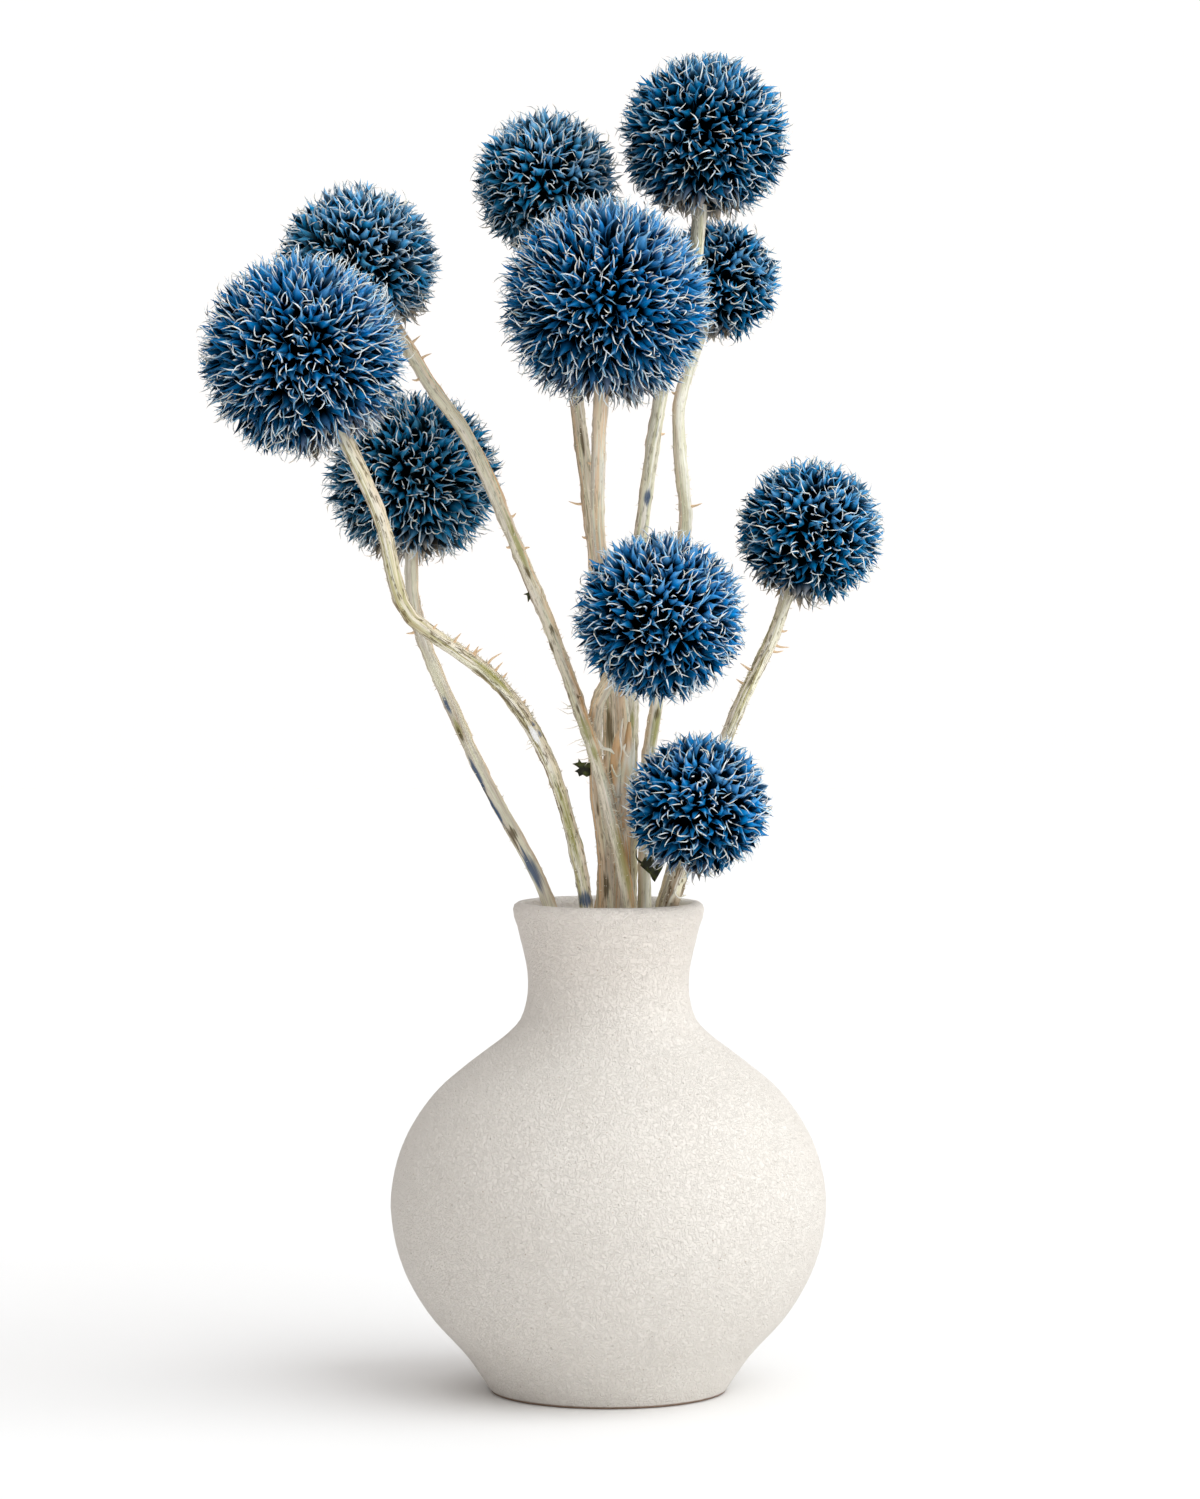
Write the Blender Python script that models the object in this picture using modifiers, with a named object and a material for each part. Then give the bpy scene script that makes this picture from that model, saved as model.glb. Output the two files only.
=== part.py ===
"""Dried globe thistles in a small white ceramic vase.

Ten round, spiky flower heads stand on long bare stems. The stems pass through the vase's
narrow neck and rest on its floor, held by nothing but the vase. Everything is in metres,
+Z up, with the origin at the centre of the vase's foot, on the surface it stands on.
"""

import math
import random

import bmesh
import bpy
from mathutils import Vector

MM = 0.001

# ---------------------------------------------------------------- driving dimensions, mm

SEAT_GAP = 0.3              # left between pieces that touch

FOOT_RADIUS = 29.6
VASE_WALL = 4.0
VASE_FLOOR = 5.0            # height of the inner floor
VASE_FLOOR_RADIUS = 24.0
VASE_FACETS = 36

# Radius and height down the vase's outer side, from just above the foot to below the lip
VASE_SIDE = [
    (30.1, 0.8), (36.0, 9.3), (44.1, 18.2), (51.2, 30.0), (54.75, 48.0), (51.2, 63.2),
    (42.7, 75.8), (30.5, 85.8), (22.2, 93.3), (20.3, 103.0), (21.9, 112.2), (24.1, 121.0),
]

CORE_SHARE = 0.62           # a head's core radius over its full radius
SPIKE_SHORTEST = 0.92       # shortest spike over the full radius
SPIKE_LEAN = 0.035          # sideways lean of a spike's tip over the full radius

LEAF_THICKNESS = 0.7

# One entry for each flower, heights above the table. The route is the stem's centre line,
# from under the head, over the vase's rim (z about 122) and through its neck (z 103), to
# the place where it stands on the vase's floor. Each stem has a radius at its head and one
# at its foot.
FLOWERS = [
    {
        "colour": "blue", "head": (-74.5, -28, 258), "head_radius": 26.4,
        "stem_radii": (2.0, 1.75), "foot": (-9, -12),
        "route": [
            (-59.5, -26, 228), (-54.5, -22, 214), (-52.5, -19, 203), (-49.5, -17, 195),
            (-43.5, -16, 190), (-31.5, -14, 182), (-22, -13, 171.5), (-14.5, -11, 158),
            (-9.5, -9, 142), (-5.5, -7, 122.5), (-6, -8, 103),
        ],
    },
    {
        "colour": "teal", "head": (-63, 14, 282.5), "head_radius": 21.3,
        "stem_radii": (1.9, 1.6), "foot": (5, -14),
        "route": [
            (-45, 12, 252.5), (-36, 10, 240.5), (-29, 7, 226), (-22, 2, 209),
            (-14.5, -4, 191.5), (-8, -8.5, 174), (-2, -11, 155), (2.5, -11, 137),
            (5, -9, 122.5), (4, -10, 103),
        ],
    },
    {
        "colour": "teal", "head": (-50, 36, 229), "head_radius": 23.5,
        "stem_radii": (1.8, 1.7), "foot": (-15, 5),
        "route": [
            (-50.5, 35, 198), (-48, 31, 186), (-42, 26, 172), (-33, 19, 155.5),
            (-23.5, 10.5, 139), (-14.5, 4, 121.5), (-12, 3, 103),
        ],
    },
    {
        "colour": "teal", "head": (-15.5, 18, 303), "head_radius": 19.5,
        "stem_radii": (1.9, 1.9), "foot": (-6, 13),
        "route": [
            (-9.5, 15, 258), (-6, 12.5, 232), (-3, 11, 206), (-0.5, 10, 183),
            (0.5, 9, 158), (-0.5, 8, 138), (-1.5, 8.5, 121.5), (-3.5, 9.5, 103),
        ],
    },
    {
        "colour": "blue", "head": (-0.5, -22, 271), "head_radius": 27.0,
        "stem_radii": (1.9, 1.6), "foot": (4, 6),
        "route": [
            (-2, -21, 245), (-2.5, -17, 232), (-2.5, -11, 214), (0.5, -4.5, 194),
            (3, 0, 177), (3.5, 2, 160), (3, 3, 142), (2, 3, 121.5), (2.5, 4, 103),
        ],
    },
    {
        "colour": "navy", "head": (24, 4, 313.5), "head_radius": 22.2,
        "stem_radii": (1.8, 1.8), "foot": (7, 16),
        "route": [
            (22, 4, 285), (17.5, 4, 266.5), (13, 4, 248.5), (9.5, 4, 226), (7, 5.5, 203),
            (6, 8, 178), (5.5, 9, 150), (5.5, 9, 121.5), (5, 11, 103),
        ],
    },
    {
        "colour": "navy", "head": (28, 26, 279), "head_radius": 16.2,
        "stem_radii": (1.7, 1.8), "foot": (12, 6),
        "route": [
            (21, 24, 258.5), (18, 22, 248.5), (18, 19.5, 236), (19.5, 16, 219),
            (17.5, 13, 201), (13, 10.5, 176.5), (10, 7.5, 158), (9.5, 5, 140),
            (9, 4, 121.5), (8.8, 3.5, 103),
        ],
    },
    {
        "colour": "navy", "head": (50.5, 6, 215), "head_radius": 19.3,
        "stem_radii": (1.7, 1.7), "foot": (17, 1),
        "route": [
            (41, 6, 188.5), (34, 6, 174), (25, 6, 152), (18.5, 5.5, 136.5),
            (13.5, 5, 121.5), (12.8, 2.5, 103),
        ],
    },
    {
        "colour": "blue", "head": (12.5, -30, 194.5), "head_radius": 22.0,
        "stem_radii": (1.7, 2.3), "foot": (-2, -3),
        "route": [
            (0.5, -15, 179.5), (-2.8, -8.5, 172.5), (-3.5, -3.5, 164), (-2.8, -1.5, 150),
            (-1, -2, 136), (-0.5, -2, 122), (-1, -2, 103),
        ],
    },
    {
        "colour": "blue", "head": (22, -20, 148), "head_radius": 18.7,
        "stem_radii": (2.4, 2.5), "foot": (14, -8),
        "route": [(18.5, -17, 134), (14.8, -8.8, 122.5), (11, -5.5, 103)],
    },
]

# Dark scraps of leaf left on stripped stems: the stem, the height where the scrap grows,
# the direction it points in, its length and its greatest width
LEAF_SCRAPS = [
    {"stem": 9, "height": 157.0, "toward": (-1.0, -0.2, 0.05), "length": 4.5, "width": 3.4},
    {"stem": 7, "height": 136.0, "toward": (0.35, -0.75, -0.65), "length": 8.5, "width": 4.6},
]

# Base colour (linear) and roughness
FINISHES = {
    "vase": ((0.83, 0.79, 0.74), 0.75),
    "stem": ((0.56, 0.46, 0.31), 0.7),
    "blue": ((0.012, 0.11, 0.34), 0.6),
    "teal": ((0.03, 0.11, 0.16), 0.6),
    "navy": ((0.02, 0.045, 0.12), 0.6),
    "leaf": ((0.022, 0.03, 0.012), 0.7),
}


# ---------------------------------------------------------------- helpers

def clear_scene():
    for obj in list(bpy.data.objects):
        bpy.data.objects.remove(obj, do_unlink=True)


def new_collection(name):
    collection = bpy.data.collections.new(name)
    bpy.context.scene.collection.children.link(collection)
    return collection


def make_material(name, finish):
    colour, roughness = FINISHES[finish]
    material = bpy.data.materials.new(name)
    material.use_nodes = True
    shader = material.node_tree.nodes["Principled BSDF"]
    shader.inputs["Base Color"].default_value = (*colour, 1.0)
    shader.inputs["Roughness"].default_value = roughness
    shader.inputs["Metallic"].default_value = 0.0
    return material


def add_object(name, data, finish, collection):
    obj = bpy.data.objects.new(name, data)
    data.materials.append(make_material(name, finish))
    collection.objects.link(obj)
    return obj


def smooth_curve(points, per_span):
    """Points on a smooth curve through all the given ones, however unevenly they lie."""
    given = [Vector(point) for point in points]
    spans = [end - start for start, end in zip(given, given[1:])]
    slopes = [spans[0].normalized()]
    for before, after in zip(spans, spans[1:]):
        slope = before.normalized() * after.length + after.normalized() * before.length
        slopes.append(slope / (before.length + after.length))
    slopes.append(spans[-1].normalized())
    curve = []
    for index, span in enumerate(spans):
        leaving = slopes[index] * span.length
        arriving = slopes[index + 1] * span.length
        for step in range(per_span):
            t = step / per_span
            curve.append(
                given[index]
                + leaving * t * (1 - t) ** 2
                + span * t ** 2 * (3 - 2 * t)
                - arriving * t ** 2 * (1 - t)
            )
    curve.append(given[-1])
    return curve


# ---------------------------------------------------------------- vase

def vase_profile():
    """Half section of the vase: up the inside, over the lip, down the outside."""
    side = smooth_curve([(radius, height, 0) for radius, height in VASE_SIDE], 2)
    inner = []
    for below, here, above in zip(side, side[1:], side[2:]):
        along = (above - below).normalized()
        inward = Vector((-along.y, along.x, 0))
        inner.append(here + VASE_WALL * inward)
    lip_radius = VASE_WALL / 2
    lip_centre = side[-1] - Vector((lip_radius, 0, 0))
    lip = []
    for step in range(6):
        angle = math.pi * (1 - step / 5)
        lip.append(lip_centre + lip_radius * Vector((math.cos(angle), math.sin(angle), 0)))
    floor = [Vector((0, VASE_FLOOR, 0)), Vector((VASE_FLOOR_RADIUS, VASE_FLOOR, 0))]
    foot = [Vector((FOOT_RADIUS, 0, 0)), Vector((0, 0, 0))]
    return floor + inner[1::2] + lip + side[-2::-1] + foot


def make_vase(collection):
    """The vase is turned: its half section spun about the upright axis."""
    mesh = bpy.data.meshes.new("vase")
    points = [(p.x * MM, 0, p.y * MM) for p in vase_profile()]
    edges = [(i, i + 1) for i in range(len(points) - 1)]
    mesh.from_pydata(points, edges, [])
    vase = add_object("vase", mesh, "vase", collection)
    screw = vase.modifiers.new("Turn", "SCREW")
    screw.axis = "Z"
    screw.angle = math.tau
    screw.steps = VASE_FACETS
    screw.render_steps = VASE_FACETS
    screw.use_merge_vertices = True
    screw.merge_threshold = 0.00005
    screw.use_smooth_shade = True
    return vase


# ---------------------------------------------------------------- flower heads

def stem_direction(flower):
    """Unit vector from a head's centre down its stem."""
    return (Vector(flower["route"][0]) - Vector(flower["head"])).normalized()


def head_base(flower):
    """Distance from a head's centre to the flat spot where the stem joins it."""
    ring_angle = math.atan(2) / 4
    return flower["head_radius"] * CORE_SHARE * math.cos(ring_angle)


def make_head(name, flower, collection, rng):
    """A ball of spikes: a faceted core whose faces each rise to a pointed floret."""
    radius = flower["head_radius"] * MM
    shape = bmesh.new()
    bmesh.ops.create_icosphere(shape, subdivisions=3, radius=radius * CORE_SHARE)

    # The faces round the lowest corner are pressed flat and stay bare, for the stem
    lowest = min(shape.verts, key=lambda vert: vert.co.z)
    around = [edge.other_vert(lowest) for edge in lowest.link_edges]
    lowest.co.z = max(vert.co.z for vert in around)
    bare = set(lowest.link_faces)

    spiked = [face for face in shape.faces if face not in bare]
    poked = bmesh.ops.poke(shape, faces=spiked)
    for tip in poked["verts"]:
        lean = Vector([rng.uniform(-SPIKE_LEAN, SPIKE_LEAN) for _ in range(3)])
        reach = radius * rng.uniform(SPIKE_SHORTEST, 1.0)
        tip.co = (tip.co.normalized() + lean).normalized() * reach

    mesh = bpy.data.meshes.new(name)
    shape.to_mesh(mesh)
    shape.free()
    head = add_object(name, mesh, flower["colour"], collection)
    head.location = Vector(flower["head"]) * MM
    head.rotation_mode = "QUATERNION"
    head.rotation_quaternion = stem_direction(flower).to_track_quat("-Z", "Y")
    return head


# ---------------------------------------------------------------- stems

def stem_centre_line(flower):
    """From the seat under the head, straight at first, down to the vase's floor."""
    head = Vector(flower["head"])
    down = stem_direction(flower)
    seat = head + down * (head_base(flower) + SEAT_GAP)
    foot_x, foot_y = flower["foot"]
    inside = [(foot_x, foot_y, 50), (foot_x, foot_y, VASE_FLOOR + SEAT_GAP)]
    return smooth_curve([seat, *flower["route"], *inside], 2)


def stem_radius(flower, line, index):
    """The stem's radius at one of the points of its centre line."""
    top_radius, foot_radius = flower["stem_radii"]
    return top_radius + (foot_radius - top_radius) * index / (len(line) - 1)


def make_stem(name, flower, collection):
    """A stem is a round rod along its centre line, a little thinner at one end."""
    line = stem_centre_line(flower)
    curve = bpy.data.curves.new(name, "CURVE")
    curve.dimensions = "3D"
    curve.bevel_depth = MM
    curve.bevel_resolution = 2
    curve.use_fill_caps = True
    spline = curve.splines.new("POLY")
    spline.points.add(len(line) - 1)
    for index, point in enumerate(spline.points):
        point.co = (*(line[index] * MM), 1.0)
        point.radius = stem_radius(flower, line, index)
    return add_object(name, curve, "stem", collection)


# ---------------------------------------------------------------- scraps of leaf

def make_leaf_scrap(name, scrap, collection):
    """A small pointed blade that starts at its stem's surface and curls a little."""
    flower = FLOWERS[scrap["stem"] - 1]
    line = stem_centre_line(flower)
    index = min(range(len(line)), key=lambda i: abs(line[i].z - scrap["height"]))
    forward = Vector(scrap["toward"]).normalized()
    sideways = forward.cross(Vector((0, 1, 0))).normalized()
    upward = sideways.cross(forward)
    outward = Vector((forward.x, forward.y, 0)).normalized()
    clearance = stem_radius(flower, line, index) + SEAT_GAP + LEAF_THICKNESS / 2
    start = line[index] + outward * clearance

    grid = bmesh.new()
    rows = 6
    ribs = []
    for row in range(rows + 1):
        along = row / rows
        half_width = scrap["width"] / 2 * (0.16 + 0.84 * math.sin(math.pi * along ** 0.8))
        curl = 0.12 * scrap["length"] * along ** 2
        middle = start + forward * scrap["length"] * along - upward * curl
        left = grid.verts.new((middle - sideways * half_width) * MM)
        right = grid.verts.new((middle + sideways * half_width) * MM)
        ribs.append((left, right))
    for (left, right), (next_left, next_right) in zip(ribs, ribs[1:]):
        grid.faces.new((left, right, next_right, next_left))
    mesh = bpy.data.meshes.new(name)
    grid.to_mesh(mesh)
    grid.free()
    leaf = add_object(name, mesh, "leaf", collection)
    solid = leaf.modifiers.new("Blade", "SOLIDIFY")
    solid.thickness = LEAF_THICKNESS * MM
    solid.offset = 0.0
    return leaf


# ---------------------------------------------------------------- the whole piece

def main():
    clear_scene()
    parts = new_collection("globe_thistles_in_vase")
    make_vase(parts)
    for number, flower in enumerate(FLOWERS, start=1):
        make_stem(f"stem_{number}", flower, parts)
        make_head(f"flower_head_{number}", flower, parts, random.Random(number))
    for number, scrap in enumerate(LEAF_SCRAPS, start=1):
        make_leaf_scrap(f"leaf_scrap_{number}", scrap, parts)


main()
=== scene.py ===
# %% [markdown]
# # Dried globe thistles in a rough white vase
#
# Ten round flower heads stand on long, stripped stems in a small unglazed vase. The solid
# model gives the size and place of every piece, and this script dresses each one: real
# florets in place of spikes, ridged bark in place of smooth rods, and a rough clay skin.
# Everything here is worked out from that fixed frame, which is loaded first.

# %% Load the frame
import math
import random

import bmesh
import bpy
import numpy as np
from mathutils import Matrix, Vector


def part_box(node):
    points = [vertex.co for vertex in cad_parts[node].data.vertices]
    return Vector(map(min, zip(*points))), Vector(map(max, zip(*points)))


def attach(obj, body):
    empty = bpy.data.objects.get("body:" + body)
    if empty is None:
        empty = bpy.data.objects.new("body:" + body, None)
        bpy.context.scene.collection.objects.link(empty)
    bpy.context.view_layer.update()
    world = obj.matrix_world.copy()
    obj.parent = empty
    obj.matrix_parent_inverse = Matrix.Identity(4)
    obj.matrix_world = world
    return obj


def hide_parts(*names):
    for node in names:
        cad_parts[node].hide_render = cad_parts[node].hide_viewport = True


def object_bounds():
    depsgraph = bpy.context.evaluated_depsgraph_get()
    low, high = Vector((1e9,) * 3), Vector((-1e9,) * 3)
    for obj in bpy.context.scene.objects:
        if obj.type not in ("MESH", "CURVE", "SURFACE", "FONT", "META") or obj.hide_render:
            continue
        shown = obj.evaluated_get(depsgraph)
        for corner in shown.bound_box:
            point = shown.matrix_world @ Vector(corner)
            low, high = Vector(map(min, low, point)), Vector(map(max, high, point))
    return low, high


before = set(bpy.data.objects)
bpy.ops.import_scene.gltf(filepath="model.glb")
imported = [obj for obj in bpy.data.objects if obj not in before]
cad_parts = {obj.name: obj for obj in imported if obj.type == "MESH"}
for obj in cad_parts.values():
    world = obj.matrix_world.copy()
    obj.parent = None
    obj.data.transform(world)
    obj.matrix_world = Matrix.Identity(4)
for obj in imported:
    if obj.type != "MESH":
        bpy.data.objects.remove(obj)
CAD_LOW, CAD_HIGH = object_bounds()
MM = 0.001
print("solid model, mm:", [round(side / MM, 1) for side in CAD_HIGH - CAD_LOW])

# %% [markdown]
# ## Arithmetic on sockets
#
# Both shaders and Geometry Nodes are graphs of nodes, and long sums are hard to read as
# nodes. `Wire` wraps one output socket, so that Python's own operators add the Math nodes.
# `Graph.add` makes any other node from its type, its settings and what its sockets get.

# %% Wires and graphs
class Wire:
    """An output socket that arithmetic works on: each operator adds a Math node."""

    def __init__(self, graph, socket):
        self.graph = graph
        self.socket = socket

    def math(self, operation, *values):
        inputs = dict(enumerate(values))
        return self.graph.add("ShaderNodeMath", {"operation": operation}, inputs)

    def __add__(self, other):
        return self.math("ADD", self, other)

    def __radd__(self, other):
        return self.math("ADD", other, self)

    def __sub__(self, other):
        return self.math("SUBTRACT", self, other)

    def __rsub__(self, other):
        return self.math("SUBTRACT", other, self)

    def __mul__(self, other):
        return self.math("MULTIPLY", self, other)

    def __rmul__(self, other):
        return self.math("MULTIPLY", other, self)

    def __truediv__(self, other):
        return self.math("DIVIDE", self, other)

    def __pow__(self, other):
        return self.math("POWER", self, other)

    def clamped(self):
        return self.math("MINIMUM", self.math("MAXIMUM", self, 0.0), 1.0)


class Graph:
    """A node tree that is filled one node at a time."""

    def __init__(self, tree):
        self.tree = tree

    def plug(self, socket, value):
        if isinstance(value, Wire):
            self.tree.links.new(value.socket, socket)
        else:
            socket.default_value = value

    def node(self, kind, settings=None, inputs=None):
        made = self.tree.nodes.new(kind)
        for name, value in (settings or {}).items():
            setattr(made, name, value)
        for key, value in (inputs or {}).items():
            self.plug(made.inputs[key], value)
        return made

    def add(self, kind, settings=None, inputs=None, output=0):
        return Wire(self, self.node(kind, settings, inputs).outputs[output])

    def step(self, value, low, high):
        """0 at low, 1 at high and smooth between; low may be the larger of the two."""
        settings = {"interpolation_type": "SMOOTHSTEP"}
        inputs = {"Value": value, "From Min": low, "From Max": high}
        return self.add("ShaderNodeMapRange", settings, inputs)

    def noise(self, where, scale, detail=3.0, rough=0.55, twist=0.0, output=0):
        inputs = {
            "Vector": where, "Scale": scale, "Detail": detail,
            "Roughness": rough, "Distortion": twist,
        }
        return self.add("ShaderNodeTexNoise", None, inputs, output)


class Paint(Graph):
    """A Principled material, with the nodes that its colour and relief need."""

    def __init__(self, name, roughness, **constants):
        self.material = bpy.data.materials.new(name)
        self.material.use_nodes = True
        super().__init__(self.material.node_tree)
        self.shader = self.tree.nodes["Principled BSDF"]
        self.shader.inputs["Roughness"].default_value = roughness
        for socket, value in constants.items():
            self.shader.inputs[socket.replace("_", " ")].default_value = value

    def place(self):
        """The place on the object, in millimetres."""
        here = self.add("ShaderNodeTexCoord", output="Object")
        return self.add("ShaderNodeMapping", None, {"Vector": here, "Scale": (1 / MM,) * 3})

    def attribute(self, name, output="Fac"):
        return self.add("ShaderNodeAttribute", {"attribute_name": name}, output=output)

    def mix(self, share, first, second):
        """A colour between two colours."""
        made = self.node("ShaderNodeMix", {"data_type": "RGBA"}, {0: share})
        colours = [socket for socket in made.inputs if socket.type == "RGBA"]
        self.plug(colours[0], first)
        self.plug(colours[1], second)
        return Wire(self, [socket for socket in made.outputs if socket.type == "RGBA"][0])

    def layers(self, ground, *layers):
        """Colours laid over a ground one after another, each where its mask says."""
        for mask, colour in layers:
            ground = self.mix(mask, ground, colour)
        return ground

    def coat(self, colour, relief=None, height=0.0, strength=1.0):
        """The finished material, with a colour and, where given, a relief this high."""
        self.plug(self.shader.inputs["Base Color"], colour)
        if relief is not None:
            inputs = {"Strength": strength, "Distance": height, "Height": relief}
            normal = self.add("ShaderNodeBump", None, inputs)
            self.plug(self.shader.inputs["Normal"], normal)
        return self.material


def rgb(red, green, blue):
    """A linear colour, from the 0 to 255 values that a paint chart gives."""
    values = []
    for value in (red, green, blue):
        share = value / 255
        values.append(share / 12.92 if share < 0.04045 else ((share + 0.055) / 1.055) ** 2.4)
    return (*values, 1.0)


# %% [markdown]
# ## Building with Geometry Nodes
#
# Bark, clay and florets follow rules, and a rule is best kept as a Geometry Nodes tree: one
# tree makes every stalk, and one for each dye makes all of its heads. A `Recipe` is such a
# tree with named inputs. `grow` puts it on an object, sets those inputs by their
# identifiers, and keeps the result as a plain mesh, so that no modifier and no instance is
# left on the finished piece.

# %% Recipes
class Recipe(Graph):
    """A Geometry Nodes tree whose named inputs are its sizes."""

    def __init__(self, name):
        tree = bpy.data.node_groups.new(name, "GeometryNodeTree")
        super().__init__(tree)
        self.keys = {}
        self.add_socket("Geometry", "NodeSocketGeometry")
        tree.interface.new_socket("Geometry", in_out="OUTPUT", socket_type="NodeSocketGeometry")
        self.source = tree.nodes.new("NodeGroupInput")
        self.result = tree.nodes.new("NodeGroupOutput")
        self.given = Wire(self, self.source.outputs[0])

    def add_socket(self, name, kind):
        socket = self.tree.interface.new_socket(name, in_out="INPUT", socket_type=kind)
        self.keys[name] = socket.identifier

    def size(self, name, kind="NodeSocketFloat"):
        """A named input of the tree, as a wire."""
        self.add_socket(name, kind)
        return Wire(self, self.source.outputs[name])

    def random(self, low, high, seed, kind="FLOAT"):
        made = self.node("FunctionNodeRandomValue", {"data_type": kind})
        shown = [socket for socket in made.inputs if socket.enabled]
        self.plug(shown[0], low)
        self.plug(shown[1], high)
        self.plug(made.inputs["Seed"], seed)
        return Wire(self, [socket for socket in made.outputs if socket.enabled][0])

    def vector(self, x, y, z):
        return self.add("ShaderNodeCombineXYZ", None, {0: x, 1: y, 2: z})

    def combine(self, operation, first, second=None, scale=None):
        inputs = {0: first}
        if second is not None:
            inputs[1] = second
        if scale is not None:
            inputs["Scale"] = scale
        return self.add("ShaderNodeVectorMath", {"operation": operation}, inputs)

    def store(self, shape, name, value, kind="FLOAT"):
        """Keeps a value on every point of a shape, under a name that paints can read."""
        made = self.node("GeometryNodeStoreNamedAttribute", {"data_type": kind})
        self.plug(made.inputs["Geometry"], shape)
        self.plug(made.inputs["Name"], name)
        shown = [socket for socket in made.inputs if socket.name == "Value" and socket.enabled]
        self.plug(shown[0], value)
        return Wire(self, made.outputs[0])

    def read(self, name):
        return self.add("GeometryNodeInputNamedAttribute", {"data_type": "FLOAT"}, {"Name": name})

    def move(self, shape, offset):
        """Moves every point of a shape by its own offset."""
        return self.add("GeometryNodeSetPosition", None, {"Geometry": shape, "Offset": offset})

    def finish(self, shape, material):
        """Ends the tree with real geometry that wears one material."""
        real = self.add("GeometryNodeRealizeInstances", None, {"Geometry": shape})
        inputs = {"Geometry": real, "Material": material}
        worn = self.add("GeometryNodeSetMaterial", None, inputs)
        self.plug(self.result.inputs[0], worn)
        return self


def show(name, data):
    obj = bpy.data.objects.new(name, data)
    bpy.context.scene.collection.objects.link(obj)
    return obj


def grow(name, recipe, host, sizes, place=None):
    """Runs a recipe on a host object and returns a plain mesh object, at the origin."""
    modifier = host.modifiers.new(recipe.tree.name, "NODES")
    modifier.node_group = recipe.tree
    for key, value in sizes.items():
        modifier[recipe.keys[key]] = value
    graph = bpy.context.evaluated_depsgraph_get()
    mesh = bpy.data.meshes.new_from_object(host.evaluated_get(graph), depsgraph=graph)
    if place is not None:
        mesh.transform(place)
    mesh.name = name
    bpy.data.objects.remove(host, do_unlink=True)
    return show(name, mesh)


def fit(piece, slot, *nodes):
    """Puts a finished piece on its body and hides the solids it stands for; slot, its finish, is not
    used.
    """
    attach(piece, "root")
    if nodes:
        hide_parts(*nodes)
    piece.data.calc_loop_triangles()
    print(piece.name, len(piece.data.loop_triangles), "triangles")


# %% [markdown]
# ## Camera, light and floor
#
# The vase stands on a white floor in a bright white studio. The camera has a long lens,
# stands 1.25 m away a little above the rim, and looks slightly down. Three wide soft suns
# light the flowers: a key from the right, one from above and a weak one low in front. The
# left of the vase therefore falls into a gentle warm grey. A single hard lamp would be
# simpler, but it would draw sharp shadows of the stalks on the vase, and real ones are soft.

# %% Camera
LENS = 120.2
CAMERA_PLACE = (-2.1 * MM, -1250 * MM, 214 * MM)
CAMERA_TARGET = (-2.1 * MM, 0, 160.9 * MM)


def add_camera():
    data = bpy.data.cameras.new("studio_camera")
    data.lens = LENS
    camera = show("studio_camera", data)
    camera.location = CAMERA_PLACE
    aim = Vector(CAMERA_TARGET) - camera.location
    camera.rotation_mode = "QUATERNION"
    camera.rotation_quaternion = aim.to_track_quat("-Z", "Y")
    bpy.context.scene.camera = camera
    print("camera looks down by", round(math.degrees(math.asin(-aim.normalized().z)), 1), "degrees")


add_camera()


# %% Lamps
WARM_SKY = (1.0, 0.965, 0.945, 1.0)
# The sky's light on the flowers, and how much brighter than that it looks behind them
SKY_LIGHT = 0.41
SKY_SEEN = 0.65
# Name, the way to it, strength, width in degrees, colour
SUNS = [
    ("key_right", (0.78, -0.40, 0.56), 1.96, 75.0, (0.95, 0.985, 1.0)),
    ("top", (0.2, -0.05, 1.0), 1.42, 100.0, (1, 1, 1)),
    ("low_front", (0.4, -1.0, 0.1), 0.36, 90.0, (1, 1, 1)),
]


def add_sun(name, toward, strength, softness, colour):
    """A wide, soft lamp far away, so that the floor is lit evenly."""
    data = bpy.data.lights.new(name, "SUN")
    data.energy = strength
    data.angle = math.radians(softness)
    data.color = colour
    lamp = show(name, data)
    lamp.rotation_mode = "QUATERNION"
    lamp.rotation_quaternion = Vector(toward).to_track_quat("Z", "Y")


def add_studio():
    world = bpy.data.worlds.new("studio")
    bpy.context.scene.world = world
    world.use_nodes = True
    sky = Graph(world.node_tree)
    shade = world.node_tree.nodes["Background"]
    shade.inputs["Color"].default_value = WARM_SKY
    seen = sky.add("ShaderNodeLightPath", output="Is Camera Ray")
    sky.plug(shade.inputs["Strength"], SKY_LIGHT + seen * SKY_SEEN)
    for sun in SUNS:
        add_sun(*sun)


def add_floor(reach=3.0):
    mesh = bpy.data.meshes.new("floor")
    corners = [(x * reach, y * reach, 0) for x, y in ((-1, -1), (1, -1), (1, 1), (-1, 1))]
    mesh.from_pydata(corners, [], [(0, 1, 2, 3)])
    floor = show("floor", mesh)
    mesh.materials.append(Paint("white_floor", 0.9).coat((0.9, 0.9, 0.9, 1.0)))


add_studio()
add_floor()
bpy.context.scene.view_settings.view_transform = "Standard"
print("suns:", [name for name, *_ in SUNS])

# %% [markdown]
# ## The vase
#
# A potter turns a vase, so its outline says everything: the solid's own outline is read off
# where its mesh crosses the +X side, smoothed with curves between its points, and spun again
# with far more steps. Subdividing the solid would be quicker, but it would also shrink the
# rim and the foot. The clay's slight unevenness is then pressed in along the normals.

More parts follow.
